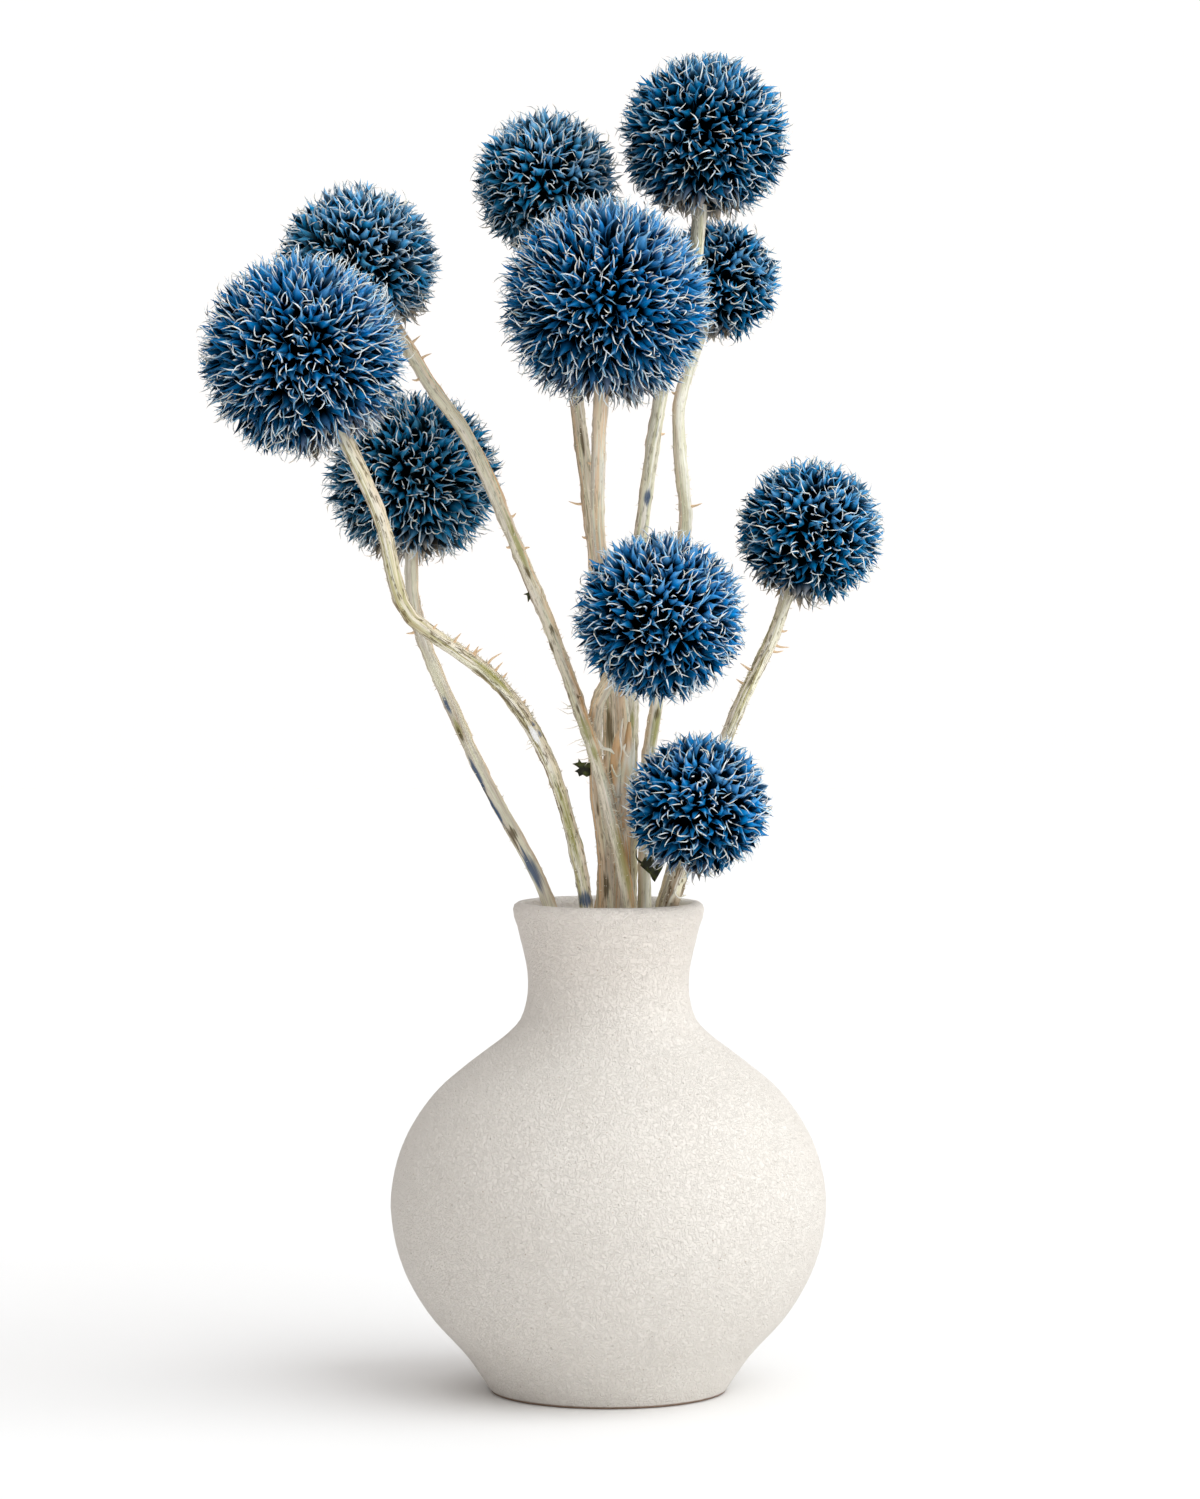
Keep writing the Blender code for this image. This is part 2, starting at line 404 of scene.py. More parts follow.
# %% Outline of the vase
def turned_outline(node):
    """The outline of a turned solid, from the axis inside, over the lip, to the axis below."""
    shape = bmesh.new()
    shape.from_mesh(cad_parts[node].data)
    bmesh.ops.remove_doubles(shape, verts=shape.verts, dist=0.02 * MM)
    near = 0.001 * MM
    side = {vert for vert in shape.verts if vert.co.x > near and abs(vert.co.y) < near}

    def beside(vert):
        return [e.other_vert(vert) for e in vert.link_edges if e.other_vert(vert) in side]

    ends = [vert for vert in side if len(beside(vert)) == 1]
    here = max(ends, key=lambda vert: vert.co.z)
    outline = [(0.0, here.co.z)]
    while here is not None:
        outline.append((here.co.x, here.co.z))
        following = beside(here)
        side.discard(here)
        here = following[0] if following else None
    shape.free()
    return outline + [(0.0, outline[-1][1])]


vase_outline = turned_outline("vase")
print("outline points:", len(vase_outline), vase_outline[:2], vase_outline[-2:])


# %% A smooth outline
def smooth(points, step, corner=50.0):
    """Points every step along a smooth curve that keeps corners of over so many degrees."""
    given = [Vector((*point, 0.0)) for point in points]
    spans = [end - start for start, end in zip(given, given[1:])]
    arriving = [span.normalized() for span in spans]
    leaving = [span.normalized() for span in spans]
    for i, (before, after) in enumerate(zip(spans, spans[1:])):
        if before.angle(after) < math.radians(corner):
            slope = before.normalized() * after.length + after.normalized() * before.length
            arriving[i] = leaving[i + 1] = slope / (before.length + after.length)
    curve = []
    for start, span, out, into in zip(given, spans, leaving, arriving):
        count = max(1, round(span.length / step))
        for t in (i / count for i in range(count)):
            curve.append(
                start
                + out * span.length * t * (1 - t) ** 2
                + span * t ** 2 * (3 - 2 * t)
                - into * span.length * t ** 2 * (1 - t)
            )
    curve.append(given[-1])
    return curve


# %% [markdown]
# The clay is off-white and matt. Its skin has short wormy strokes from the potter's sponge,
# fine grain, a few pits, and scattered iron specks. The strokes come from a twisted noise,
# and specks and pits from the middle of the cells of a Voronoi pattern, kept only in some
# cells. The neck is a little warmer. The inside is painted paler, as painted light where the
# stalks and heads shade it, and a thin brown line round the bottom of the foot is painted
# shade where it meets the floor. A drawn texture could hold all this too, but a pattern in
# millimetres has no seam and needs no unwrapping.

# %% Clay
def clay_paint():
    paint = Paint("rough_white_clay", 0.82, Specular_IOR_Level=0.28)
    here = paint.place()
    level = paint.add("ShaderNodeSeparateXYZ", None, {0: here}, output="Z")

    def spots(scale, near, far, least, most):
        """Round spots in the middle of some of the cells of a pattern."""
        inputs = {"Vector": here, "Scale": scale}
        cells = paint.node("ShaderNodeTexVoronoi", {"feature": "F1"}, inputs)
        kept = paint.step(Wire(paint, cells.outputs["Color"]), least, most)
        return (1.0 - paint.step(Wire(paint, cells.outputs["Distance"]), near, far)) * kept

    ridges = paint.step(paint.noise(here, 1.25, detail=1.0, rough=0.5, twist=1.2), 0.42, 0.6)
    grain = paint.noise(here, 4.5, detail=3.0, rough=0.65)
    specks = spots(0.5, 0.06, 0.13, 0.5, 0.58)
    pits = spots(0.6, 0.08, 0.2, 0.55, 0.6)
    skin = paint.layers(
        rgb(233, 228, 221),
        (paint.noise(here, 0.11, detail=2.0), rgb(227, 221, 213)),
        (paint.step(grain, 0.35, 0.75) * 0.25, rgb(240, 235, 229)),
        (ridges * 0.06, rgb(220, 208, 196)),
        (paint.step(level, 84.0, 112.0) * 0.5, rgb(233, 224, 215)),
        # painted light: the inside of the mouth, which the stalks and heads shade, is painted paler
        (paint.attribute("inner"), rgb(252, 248, 243)),
        (specks * 0.5, rgb(160, 132, 106)),
        # painted shade: a thin brown line round the bottom of the foot, where it meets the floor
        (paint.step(level, 0.9, 0.4) * 0.85, rgb(140, 106, 78)),
    )
    relief = ridges * 0.55 + grain * 0.35 - pits * 0.7
    return paint.coat(skin, relief, height=0.5 * MM, strength=0.85)


# %% Turning the vase again
VASE_SIDES = 180
UNEVENNESS = 0.35 * MM
INNER_FLOOR = 5 * MM


def clay_recipe(material):
    """Presses the slight unevenness of hand-made clay into a smooth turned form."""
    recipe = Recipe("clay relief")
    depth = recipe.size("Depth")
    here = recipe.add("GeometryNodeInputPosition")
    out = recipe.add("GeometryNodeInputNormal")
    broad = recipe.noise(here, 60.0, detail=2.0, rough=0.5)
    fine = recipe.noise(here, 420.0, detail=1.0, rough=0.5)
    sink = (broad * 0.75 + fine * 0.25) * depth * -1.0
    pressed = recipe.move(recipe.given, recipe.combine("SCALE", out, scale=sink))
    return recipe.finish(pressed, material)


def all_vectors(items, name):
    flat = np.empty(len(items) * 3)
    items.foreach_get(name, flat)
    return flat.reshape(-1, 3)


def store(mesh, name, values):
    layer = mesh.attributes.new(name, "FLOAT", "POINT")
    layer.data.foreach_set("value", values)


def ramp(values, low, high):
    """0 up to low, 1 from high on, and straight between."""
    return np.clip((values - low) / (high - low), 0, 1)


def make_vase():
    mesh = bpy.data.meshes.new("vase_outline")
    points = [(point.x, 0.0, point.y) for point in smooth(vase_outline, 2.0 * MM)]
    mesh.from_pydata(points, [(i, i + 1) for i in range(len(points) - 1)], [])
    host = show("vase_outline", mesh)
    screw = host.modifiers.new("Turn", "SCREW")
    screw.angle = math.tau
    screw.steps = screw.render_steps = VASE_SIDES
    screw.use_merge_vertices = True
    screw.merge_threshold = 0.02 * MM
    screw.use_smooth_shade = True
    vase = grow("vase_body", clay_recipe(clay_paint()), host, {"Depth": UNEVENNESS})
    places = all_vectors(vase.data.vertices, "co")
    normals = all_vectors(vase.data.vertex_normals, "vector")
    inward = -(places * normals)[:, :2].sum(axis=1) / np.hypot(places[:, 0], places[:, 1])
    # Inside faces above the inner floor are marked for the painted light of the clay paint
    store(vase.data, "inner", ramp(inward, 0, 1 / 3) * (places[:, 2] > INNER_FLOOR))
    fit(vase, "vase_ceramic", "vase")


make_vase()

# %% [markdown]
# ## Stems
#
# Each stem of the model is a smooth rod. Level cuts through it give the middle and the
# radius at every height, and those make a curve. Stalk 3 sways out a little more at half
# height than its rod does. A recipe then sweeps a ring along the curve and works the
# surface: shallow grooves that run lengthways, and slow swellings as in a grown stalk. The
# rods could be sculpted by hand too, but then every stalk would be a job of its own. The
# place round and along each stalk is kept as an attribute, because bark streaks follow the
# stalk and not the room.

# %% The middle of a rod
def level_cuts(node, step):
    """The middle and the radius of an upright rod, cut level every step from the top."""
    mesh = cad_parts[node].data
    places = np.array([vert.co for vert in mesh.vertices])
    faces = places[np.array([face.vertices for face in mesh.polygons])]
    low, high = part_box(node)
    cuts = []
    for level in np.arange(high.z - 2.5 * MM, low.z + 0.5 * MM, -step):
        above = faces[:, :, 2] - level
        crossed = faces[(above.min(1) < 0) & (above.max(1) > 0)]
        ends = []
        for first, second in ((0, 1), (1, 2), (2, 0)):
            a, b = crossed[:, first], crossed[:, second]
            rise = b[:, 2] - a[:, 2]
            share = (level - a[:, 2]) / np.where(rise == 0, 1, rise)
            point = a + (b - a) * share[:, None]
            point[(share <= 0) | (share >= 1)] = np.nan
            ends.append(point)
        outline = np.concatenate(ends)
        outline = outline[~np.isnan(outline[:, 0])]
        middle = (outline.min(0) + outline.max(0)) / 2
        radius = np.linalg.norm(outline - middle, axis=1).min()
        cuts.append((Vector(middle), float(radius)))
    return cuts


def centre_line(node, step):
    """The cuts of a rod, carried on to its two ends."""
    cuts = level_cuts(node, step)
    low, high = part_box(node)
    for end, beside, height in ((0, 1, high.z - 0.6 * MM), (-1, -2, low.z)):
        place, radius = cuts[end]
        along = place - cuts[beside][0]
        grown = place + along * ((height - place.z) / along.z)
        cuts.insert(0 if end == 0 else len(cuts), (grown, radius))
    return cuts


STEM_NUMBERS = range(1, 11)
SWAY = 1.6 * MM
SWAY_HEIGHT = 177 * MM
SWAY_LENGTH = 17 * MM
stem_lines = {number: centre_line(f"stem_{number}", 4 * MM) for number in STEM_NUMBERS}
for place, radius in stem_lines[3]:
    place.x += SWAY * math.exp(-((place.z - SWAY_HEIGHT) / SWAY_LENGTH) ** 2)
print("stem 1 runs from", stem_lines[1][0], "to", stem_lines[1][-1])


# %% [markdown]
# Dry stalks fade unevenly. Cream is the ground; peach, straw and grey lie over it in long
# streaks, and one side of a stalk is often peachier than the rest. Thin dark slits, green
# remains, bare pith and spots of blue dye sit at places of their own. All of these are
# attributes of the mesh, set further down, so that one paint serves every stalk.

# %% Bark
STAIN_KINDS = ("moss", "slit", "dye", "pith")
BARK_ATTRIBUTES = ("straw", "peach", "grey", "side", "shade", "crack", *STAIN_KINDS)


def bark_paint():
    paint = Paint("dry_bark", 0.72, Specular_IOR_Level=0.2)
    skin = paint.attribute("bark", "Vector")

    def streaks(around, along, shift, detail, rough):
        """A noise that is stretched along the stalk."""
        scale = (around, around, along)
        inputs = {"Vector": skin, "Location": (shift,) * 3, "Scale": scale}
        stretched = paint.add("ShaderNodeMapping", None, inputs)
        return paint.noise(stretched, 1.0, detail=detail, rough=rough)

    broad = streaks(1.2, 0.7, 0.0, 2.0, 0.5)
    long = streaks(2.2, 0.4, 7.0, 2.0, 0.55)
    fibre = streaks(4.0, 0.8, 3.0, 3.0, 0.6)
    knots = streaks(1.7, 4.5, 5.0, 2.0, 0.5)
    thin = streaks(5.0, 0.4, 11.0, 1.0, 0.5)
    field = streaks(2.5, 1.2, 17.0, 2.0, 0.5)
    straw, peach, grey, side, shade, crack, moss, slit, dye, pith = (
        paint.attribute(name) for name in BARK_ATTRIBUTES
    )
    fissures = 1.0 - paint.step(field.math("ABSOLUTE", field - 0.5), 0.01, 0.05)
    fissures = fissures * paint.step(knots, 0.42, 0.56)
    ragged = (fibre - 0.5) * 1.3 + (thin - 0.5) * 0.9
    warm = (paint.step(long, 0.66, 0.4) * (peach * 0.5 + side)).clamped()
    colour = paint.layers(
        rgb(254, 253, 242),
        (paint.step(broad, 0.35, 0.65), rgb(241, 241, 219)),
        (paint.step(long, 0.45, 0.6) * straw, rgb(188, 180, 126)),
        (paint.step(broad, 0.6, 0.42) * grey, rgb(160, 146, 126)),
        (warm, rgb(228, 182, 128)),
        (paint.step(fibre, 0.42, 0.26) * (0.3 + grey * 0.4), rgb(128, 98, 66)),
        (paint.step(thin, 0.6, 0.72) * 0.55, rgb(255, 253, 244)),
        (paint.step(thin, 0.4, 0.28) * 0.45, rgb(158, 124, 84)),
        (paint.step(knots, 0.3, 0.22) * 0.35, rgb(150, 118, 84)),
        (fissures * crack, rgb(104, 86, 48)),
        # painted shade: the stalk's lower left side, turned from the light, is darker brown
        (shade * paint.step(long, 0.3, 0.6) * 0.75, rgb(128, 98, 74)),
        (paint.step(moss + ragged, 0.2, 0.9) * 0.7, rgb(152, 150, 66)),
        (paint.step(slit + ragged, 0.3, 0.8) * 0.85, rgb(88, 72, 42)),
        (paint.step(dye + ragged, 0.25, 0.8) * 0.85, rgb(22, 70, 112)),
        (paint.step(pith + ragged, 0.3, 0.6), rgb(250, 250, 248)),
    )
    relief = fibre * 0.3 + long * 0.3 + knots * 0.2 + thin * 0.15 - fissures * crack * 0.3
    return paint.coat(colour, relief, height=0.8 * MM, strength=0.8)


# %% The stem recipe
def stem_recipe(material):
    recipe = Recipe("stalk")
    step = recipe.size("Step")
    sides = recipe.size("Sides", "NodeSocketInt")
    groove = recipe.size("Groove depth")
    knob = recipe.size("Knob height")
    swell = recipe.size("Swelling")
    start = recipe.size("Pattern start")
    inputs = {"Curve": recipe.given, "Length": step}
    line = recipe.add("GeometryNodeResampleCurve", {"mode": "LENGTH"}, inputs)
    along = recipe.add("GeometryNodeSplineParameter", output="Length")
    line = recipe.store(line, "length", along * 100.0 + start)
    inputs = {"Resolution": sides, "Radius": 1.0}
    ring = recipe.add("GeometryNodeCurvePrimitiveCircle", {"mode": "RADIUS"}, inputs)
    turn = recipe.add("GeometryNodeSplineParameter", output="Factor") * math.tau
    ring = recipe.store(ring, "around_x", turn.math("COSINE", turn))
    ring = recipe.store(ring, "around_y", turn.math("SINE", turn))
    swept = recipe.add("GeometryNodeCurveToMesh", None, {
        "Curve": line, "Profile Curve": ring, "Fill Caps": True,
        "Scale": recipe.add("GeometryNodeInputRadius"),
    })
    x, y, far = recipe.read("around_x"), recipe.read("around_y"), recipe.read("length")
    swept = recipe.store(swept, "bark", recipe.vector(x, y, far), kind="FLOAT_VECTOR")

    def waves(around, lengthways, detail):
        """A noise round and along the stalk, which closes where the ring does."""
        where = recipe.vector(x * around, y * around, far * lengthways)
        return recipe.noise(where, 1.0, detail=detail, rough=0.5)

    grooves = (waves(2.0, 0.35, 1.0) - 0.5) * groove * 2.0
    knobs = recipe.step(waves(1.5, 3.6, 2.0), 0.5, 0.72) * knob
    swells = (waves(0.4, 1.1, 2.0) - 0.5) * swell * 2.0
    out = recipe.add("GeometryNodeInputNormal")
    offset = recipe.combine("SCALE", out, scale=grooves + knobs + swells)
    return recipe.finish(recipe.move(swept, offset), material)


def curve_through(name, line):
    """A curve object through places that each have a radius."""
    data = bpy.data.curves.new(name, "CURVE")
    data.dimensions = "3D"
    spline = data.splines.new("POLY")
    spline.points.add(len(line) - 1)
    for point, (place, radius) in zip(spline.points, line):
        point.co = (*place, 1.0)
        point.radius = radius
    return show(name, data)


# %% [markdown]
# A place on a stalk is given by the stalk's number, its height in millimetres and the way
# it faces: 0 degrees is to the front, 90 to the right and -90 to the left.

# %% Places on a stalk
def way(facing):
    """The level direction that a number of degrees stands for."""
    return Vector((math.sin(math.radians(facing)), -math.cos(math.radians(facing)), 0))


def stalk_site(number, height, facing):
    """The place, the outward direction and the stalk's own direction there."""
    level = height * MM
    line = stem_lines[number]
    for (upper, wide), (lower, narrow) in zip(line, line[1:]):
        if lower.z <= level <= upper.z:
            break
    share = (upper.z - level) / (upper.z - lower.z)
    middle = upper.lerp(lower, share)
    radius = wide + (narrow - wide) * share
    along = (upper - lower).normalized()
    out = way(facing)
    out = (out - along * out.dot(along)).normalized()
    return middle + out * radius, out, along


STALK_TONES = {
    1: {"straw": 0.85, "peach": 0.15, "grey": 0.15, "crack": 0.80},
    2: {"straw": 0.35, "peach": 0.45, "grey": 0.15, "crack": 0.45},
    3: {"straw": 0.30, "peach": 0.25, "grey": 0.40, "crack": 0.12},
    4: {"straw": 0.60, "peach": 0.60, "grey": 0.45, "crack": 0.50},
    5: {"straw": 0.15, "peach": 0.70, "grey": 0.25, "crack": 0.30},
    6: {"straw": 0.50, "peach": 0.30, "grey": 0.05, "crack": 0.55},
    7: {"straw": 0.45, "peach": 0.20, "grey": 0.00, "crack": 0.25},
    8: {"straw": 0.85, "peach": 0.25, "grey": 0.10, "crack": 0.70},
    9: {"straw": 0.10, "peach": 0.60, "grey": 0.55, "crack": 0.45},
    10: {"straw": 0.45, "peach": 0.15, "grey": 0.90, "crack": 0.90},
}
# Which way the peachy side of each stalk faces, and how strong it is
PEACH_SIDES = {
    1: (75, 0.35), 2: (80, 0.75), 3: (100, 0.5), 4: (-90, 0.4), 5: (0, 0.3),
    6: (-100, 0.3), 7: (-85, 0.5), 8: (-70, 0.25), 9: (-90, 0.5), 10: (60, 0.15),
}
# Kind, stalk, height, facing, half length, half width
STAINS = [
    ("dye", 1, 167.4, 35, 1.0, 0.7),
    ("dye", 1, 165.0, 42, 1.6, 0.7),
    ("pith", 1, 165.4, 0, 3.2, 1.0),
    ("slit", 1, 181.0, -50, 5.0, 0.6),
    ("slit", 1, 175.0, -45, 4.5, 0.7),
    ("slit", 1, 171.0, -20, 2.5, 0.5),
    ("moss", 1, 180.0, 15, 9.0, 0.9),
    ("moss", 1, 143.0, -5, 16.0, 0.9),
    ("slit", 1, 147.0, -35, 2.5, 0.5),
    ("dye", 1, 124.0, 0, 2.6, 2.2),
    ("slit", 2, 204.6, 5, 2.6, 0.6),
    ("slit", 2, 190.4, 8, 1.8, 0.55),
    ("slit", 2, 187.0, -65, 2.4, 0.6),
    ("slit", 2, 175.0, -60, 1.6, 0.5),
    ("slit", 2, 171.4, -20, 2.2, 0.5),
    ("slit", 2, 174.0, 25, 0.8, 0.6),
    ("moss", 2, 212.0, 20, 14.0, 0.8),
    ("moss", 2, 166.4, -5, 5.0, 1.3),
    ("moss", 2, 160.5, 5, 3.0, 0.8),
    ("moss", 2, 134.0, 20, 13.0, 1.2),
    ("dye", 3, 171.0, -35, 3.4, 0.7),
    ("moss", 3, 165.0, -25, 4.0, 1.2),
    ("slit", 3, 163.5, -30, 3.6, 0.7),
    ("dye", 3, 154.0, -55, 7.0, 0.8),
    ("dye", 3, 145.0, -60, 6.0, 0.8),
    ("slit", 3, 139.0, -15, 2.6, 1.2),
    ("dye", 3, 130.0, -20, 8.0, 1.6),
    ("slit", 3, 149.0, -72, 9.0, 0.5),
    ("slit", 3, 138.0, -50, 6.0, 0.8),
    ("slit", 4, 166.0, 0, 9.0, 1.1),
    ("slit", 4, 156.0, 25, 6.0, 1.2),
    ("slit", 4, 238.0, 10, 5.0, 0.6),
    ("slit", 5, 205.0, 10, 4.0, 1.0),
    ("moss", 6, 168.0, 0, 3.0, 1.0),
    ("dye", 6, 224.0, 15, 2.6, 0.9),
    ("dye", 6, 122.0, 0, 2.0, 1.2),
    ("slit", 7, 169.5, 20, 2.4, 0.8),
    ("moss", 7, 166.0, 25, 8.0, 1.2),
    ("slit", 9, 127.0, 0, 5.0, 0.9),
    ("slit", 9, 146.0, -10, 3.0, 0.5),
    ("slit", 10, 127.5, -20, 2.0, 1.0),
    ("slit", 8, 178.0, 0, 3.0, 0.5),
]


print("stains on the stalks:", len(STAINS))


# %% Painting the stalks
# The side of a stalk that is painted darker as painted shade: down, to the left and a little to the back
SHADED_SIDE = (-0.8, 0.2, -0.57)


def stain(places, number, height, facing, length, width):
    """How much of a pointed stain lies at each place: 1 in its middle, 0 far away."""
    centre, _, along = stalk_site(number, height, facing)
    away = places - np.array(centre)
    lengthways = away @ np.array(along) / (length * MM)
    sideways = np.linalg.norm(away - np.outer(away @ np.array(along), along), axis=1)
    taper = np.clip(1.15 - 0.6 * np.abs(lengthways), 0.15, 1)
    return np.exp(-(lengthways ** 2) - (sideways / (width * MM * taper)) ** 2)


def paint_stalk(mesh, number):
    """Stores the tones, the peachy side, the shaded side and the stains of one stalk."""
    places = all_vectors(mesh.vertices, "co")
    normals = all_vectors(mesh.vertex_normals, "vector")
    for tone, value in STALK_TONES[number].items():
        store(mesh, tone, np.full(len(places), value))
    facing, strength = PEACH_SIDES[number]
    store(mesh, "side", ramp(normals @ np.array(way(facing)), 0.2, 0.8) * strength)
    store(mesh, "shade", ramp(normals @ np.array(SHADED_SIDE), 0.45, 0.9))
    amounts = {kind: np.zeros(len(places)) for kind in STAIN_KINDS}
    for kind, stalk, *spot in STAINS:
        if stalk == number:
            amounts[kind] = np.maximum(amounts[kind], stain(places, number, *spot))
    for kind, values in amounts.items():
        store(mesh, kind, values)


STALK_SIZES = {
    "Step": 0.8 * MM, "Sides": 20, "Groove depth": 0.16 * MM, "Knob height": 0.25 * MM,
    "Swelling": 0.4 * MM,
}


def make_stalks(bark):
    recipe = stem_recipe(bark)
    for number, line in stem_lines.items():
        host = curve_through(f"stalk_line_{number}", line)
        sizes = {**STALK_SIZES, "Pattern start": 13.7 * number}
        stalk = grow(f"stalk_{number}", recipe, host, sizes)
        stalk.data.shade_smooth()
        paint_stalk(stalk.data, number)
        fit(stalk, "dry_stem", f"stem_{number}")


bark = bark_paint()
make_stalks(bark)

# %% [markdown]
# ## Thorns, hairs and peeling bark
#
# Thistle stalks are not clean. Small hooked thorns stand on them, short hairs grow
# everywhere, and over the mouth hang strips and curls of bark that have peeled off. A
# normal map could draw hairs, but not their outline against the white, so each of them is a
# small closed shape: a spike with its root sunk into the stalk, or a thin ribbon.

# %% Thorns and hairs
def flowing(points, steps):
    """A smooth run of places through a few given ones."""
    ends = [points[0] * 2 - points[1], *points, points[-1] * 2 - points[-2]]
    run = []
    for a, b, c, d in zip(ends, ends[1:], ends[2:], ends[3:]):
        for i in range(steps):
            t = i / steps
            pull = (c - a) / 2
            lead = (d - b) / 2
            place = b * (2 * t ** 3 - 3 * t ** 2 + 1) + pull * (t ** 3 - 2 * t ** 2 + t)
            run.append(place + c * (3 * t ** 2 - 2 * t ** 3) + lead * (t ** 3 - t ** 2))
    return [*run, points[-1]]


def band(shape, lower, upper):
    """Faces between two rings of corners."""
    for i, corner in enumerate(lower):
        after = (i + 1) % len(lower)
        shape.faces.new((corner, lower[after], upper[after], upper[i]))


def skin_rings(shape, rings, tip=None):
    """Closes a run of rings, with a point or a flat cap at its far end."""
    for lower, upper in zip(rings, rings[1:]):
        band(shape, lower, upper)
    shape.faces.new(tuple(reversed(rings[0])))
    last = rings[-1]
    if tip is None:
        shape.faces.new(last)
        return
    for i, corner in enumerate(last):
        shape.faces.new((corner, last[(i + 1) % len(last)], tip))


def spike(shape, run, radius, sides):
    """A round spike along a run of places, ending in a point."""
    across = (run[1] - run[0]).orthogonal().normalized()
    rings = []
    for i, place in enumerate(run[:-1]):
        aim = (run[i + 1] - place).normalized()
        across = (across - aim * across.dot(aim)).normalized()
        wide = radius * (1 - i / len(run)) ** 0.8
        turns = [Matrix.Rotation(math.tau * k / sides, 3, aim) for k in range(sides)]
        rings.append([shape.verts.new(place + turn @ across * wide) for turn in turns])
    skin_rings(shape, rings, shape.verts.new(run[-1]))


def finish_shape(name, shape, material, tones):
    """A mesh object of a bmesh, with the bark's tones stored evenly."""
    bmesh.ops.recalc_face_normals(shape, faces=shape.faces)
    mesh = bpy.data.meshes.new(name)
    shape.to_mesh(mesh)
    shape.free()
    mesh.materials.append(material)
    mesh.shade_smooth()
    for tone, value in tones.items():
        store(mesh, tone, np.full(len(mesh.vertices), value))
    return show(name, mesh)


THORN_RADIUS = 0.55 * MM
THORN_ROOT = 0.9 * MM
# Stalk, height, facing, length, hook sideways (right is positive), lift
THORNS = [
    (1, 187.0, 75, 2.2, 0.6, 0.9), (1, 185.0, 80, 1.2, 0.1, 0.6), (1, 183.8, 85, 2.0, 0.1, 0.5),
    (1, 183.6, 80, 2.0, 0.9, 0.3), (1, 181.3, 85, 3.2, 1.5, 0.6), (1, 179.6, 85, 2.2, 0.5, 0.7),
    (1, 178.0, 90, 1.4, 0.1, 0.5), (1, 172.0, 85, 0.9, 0.0, 0.4), (1, 190.5, 70, 1.2, 0.3, 0.4),
    (2, 262.0, 85, 1.8, 0.5, 0.8), (2, 258.0, 90, 2.0, 0.8, 0.2), (2, 254.5, -80, 1.4, -0.6, 0.6),
    (2, 218.4, 90, 1.1, 0.1, 0.6), (2, 210.5, 90, 1.2, 0.3, -0.1), (2, 212.0, -90, 0.8, 0.0, 0.5),
    (4, 222.5, -90, 2.6, -0.9, 1.0), (4, 214.0, -90, 1.0, 0.0, 0.5), (7, 221.5, 80, 2.4, 0.5, 0.6),
    (8, 187.5, 90, 2.6, 1.3, 0.5), (8, 186.0, 80, 2.0, 1.0, 0.9), (8, 180.0, -80, 2.2, -0.6, 0.8),
    (8, 176.5, -90, 1.6, -0.3, 0.5), (8, 191.0, 85, 1.3, 0.4, 0.6), (6, 240.0, 90, 1.0, 0.0, 0.4),
    (5, 232.0, -85, 0.9, 0.0, 0.4), (3, 190.0, -90, 1.6, -0.6, 0.2), (7, 250.0, -90, 0.9, 0.0, 0.4),
]


def make_thorns(material):
    shape = bmesh.new()
    for number, height, facing, length, hook, lift in THORNS:
        foot, out, along = stalk_site(number, height, facing)
        middle = foot + out * length * 0.55 * MM + along * lift * 0.2 * MM
        tip = foot + out * length * MM + Vector((hook, 0, lift)) * MM
        run = flowing([foot - out * THORN_ROOT, foot, middle, tip], 3)
        spike(shape, run, THORN_RADIUS, 6)
    tones = {"straw": 0.1, "peach": 0.3, "grey": 0.0, "side": 0.9}
    fit(finish_shape("stalk_thorns", shape, material, tones), "dry_stem")


HAIR_ROOT = 0.5 * MM
LONG_HAIR = 2
# Stalk, highest and lowest place, facing and spread, how many, length
HAIR_PATCHES = [
    (1, 189, 168, 75, 40, 150, 1.0), (1, 166, 162, -60, 40, 4, 2.6), (1, 240, 190, 0, 180, 90, 0.7),
    (2, 173, 158, -75, 50, 17, 3.2), (2, 270, 130, 0, 180, 260, 0.8), (2, 160, 140, 60, 60, 60, 1.6),
    (3, 214, 128, 0, 180, 120, 0.7), (4, 250, 150, 0, 180, 110, 0.7), (5, 245, 180, 0, 180, 80, 0.7),
    (6, 260, 130, 0, 180, 140, 0.7), (7, 260, 160, 0, 180, 120, 0.8), (8, 203, 150, 0, 180, 110, 0.9),
    (9, 186, 125, 0, 180, 120, 0.8), (10, 136, 124, 0, 180, 40, 0.9), (1, 160, 125, 0, 180, 90, 0.7),
]


def make_hairs(material):
    shape = bmesh.new()
    rng = random.Random(5)
    for number, high, low, facing, spread, count, length in HAIR_PATCHES:
        for _ in range(count):
            turn = facing + rng.uniform(-spread, spread)
            foot, out, along = stalk_site(number, rng.uniform(low, high), turn)
            long = length * rng.uniform(0.5, 1.1) * MM
            stray = Vector([rng.uniform(-0.5, 0.5) for _ in range(3)])
            middle = foot + (out + stray * 0.4) * long * 0.5
            tip = foot + (out + stray + along * rng.uniform(-0.5, 0.7)) * long
            thick = rng.uniform(0.16, 0.26) if length > LONG_HAIR else rng.uniform(0.1, 0.22)
            spike(shape, [foot - out * HAIR_ROOT, foot, middle, tip], thick * MM, 3)
    tones = {"straw": 0.1, "peach": 0.1, "grey": 0.0, "side": 0.15}
    fit(finish_shape("stalk_hairs", shape, material, tones), "dry_stem")


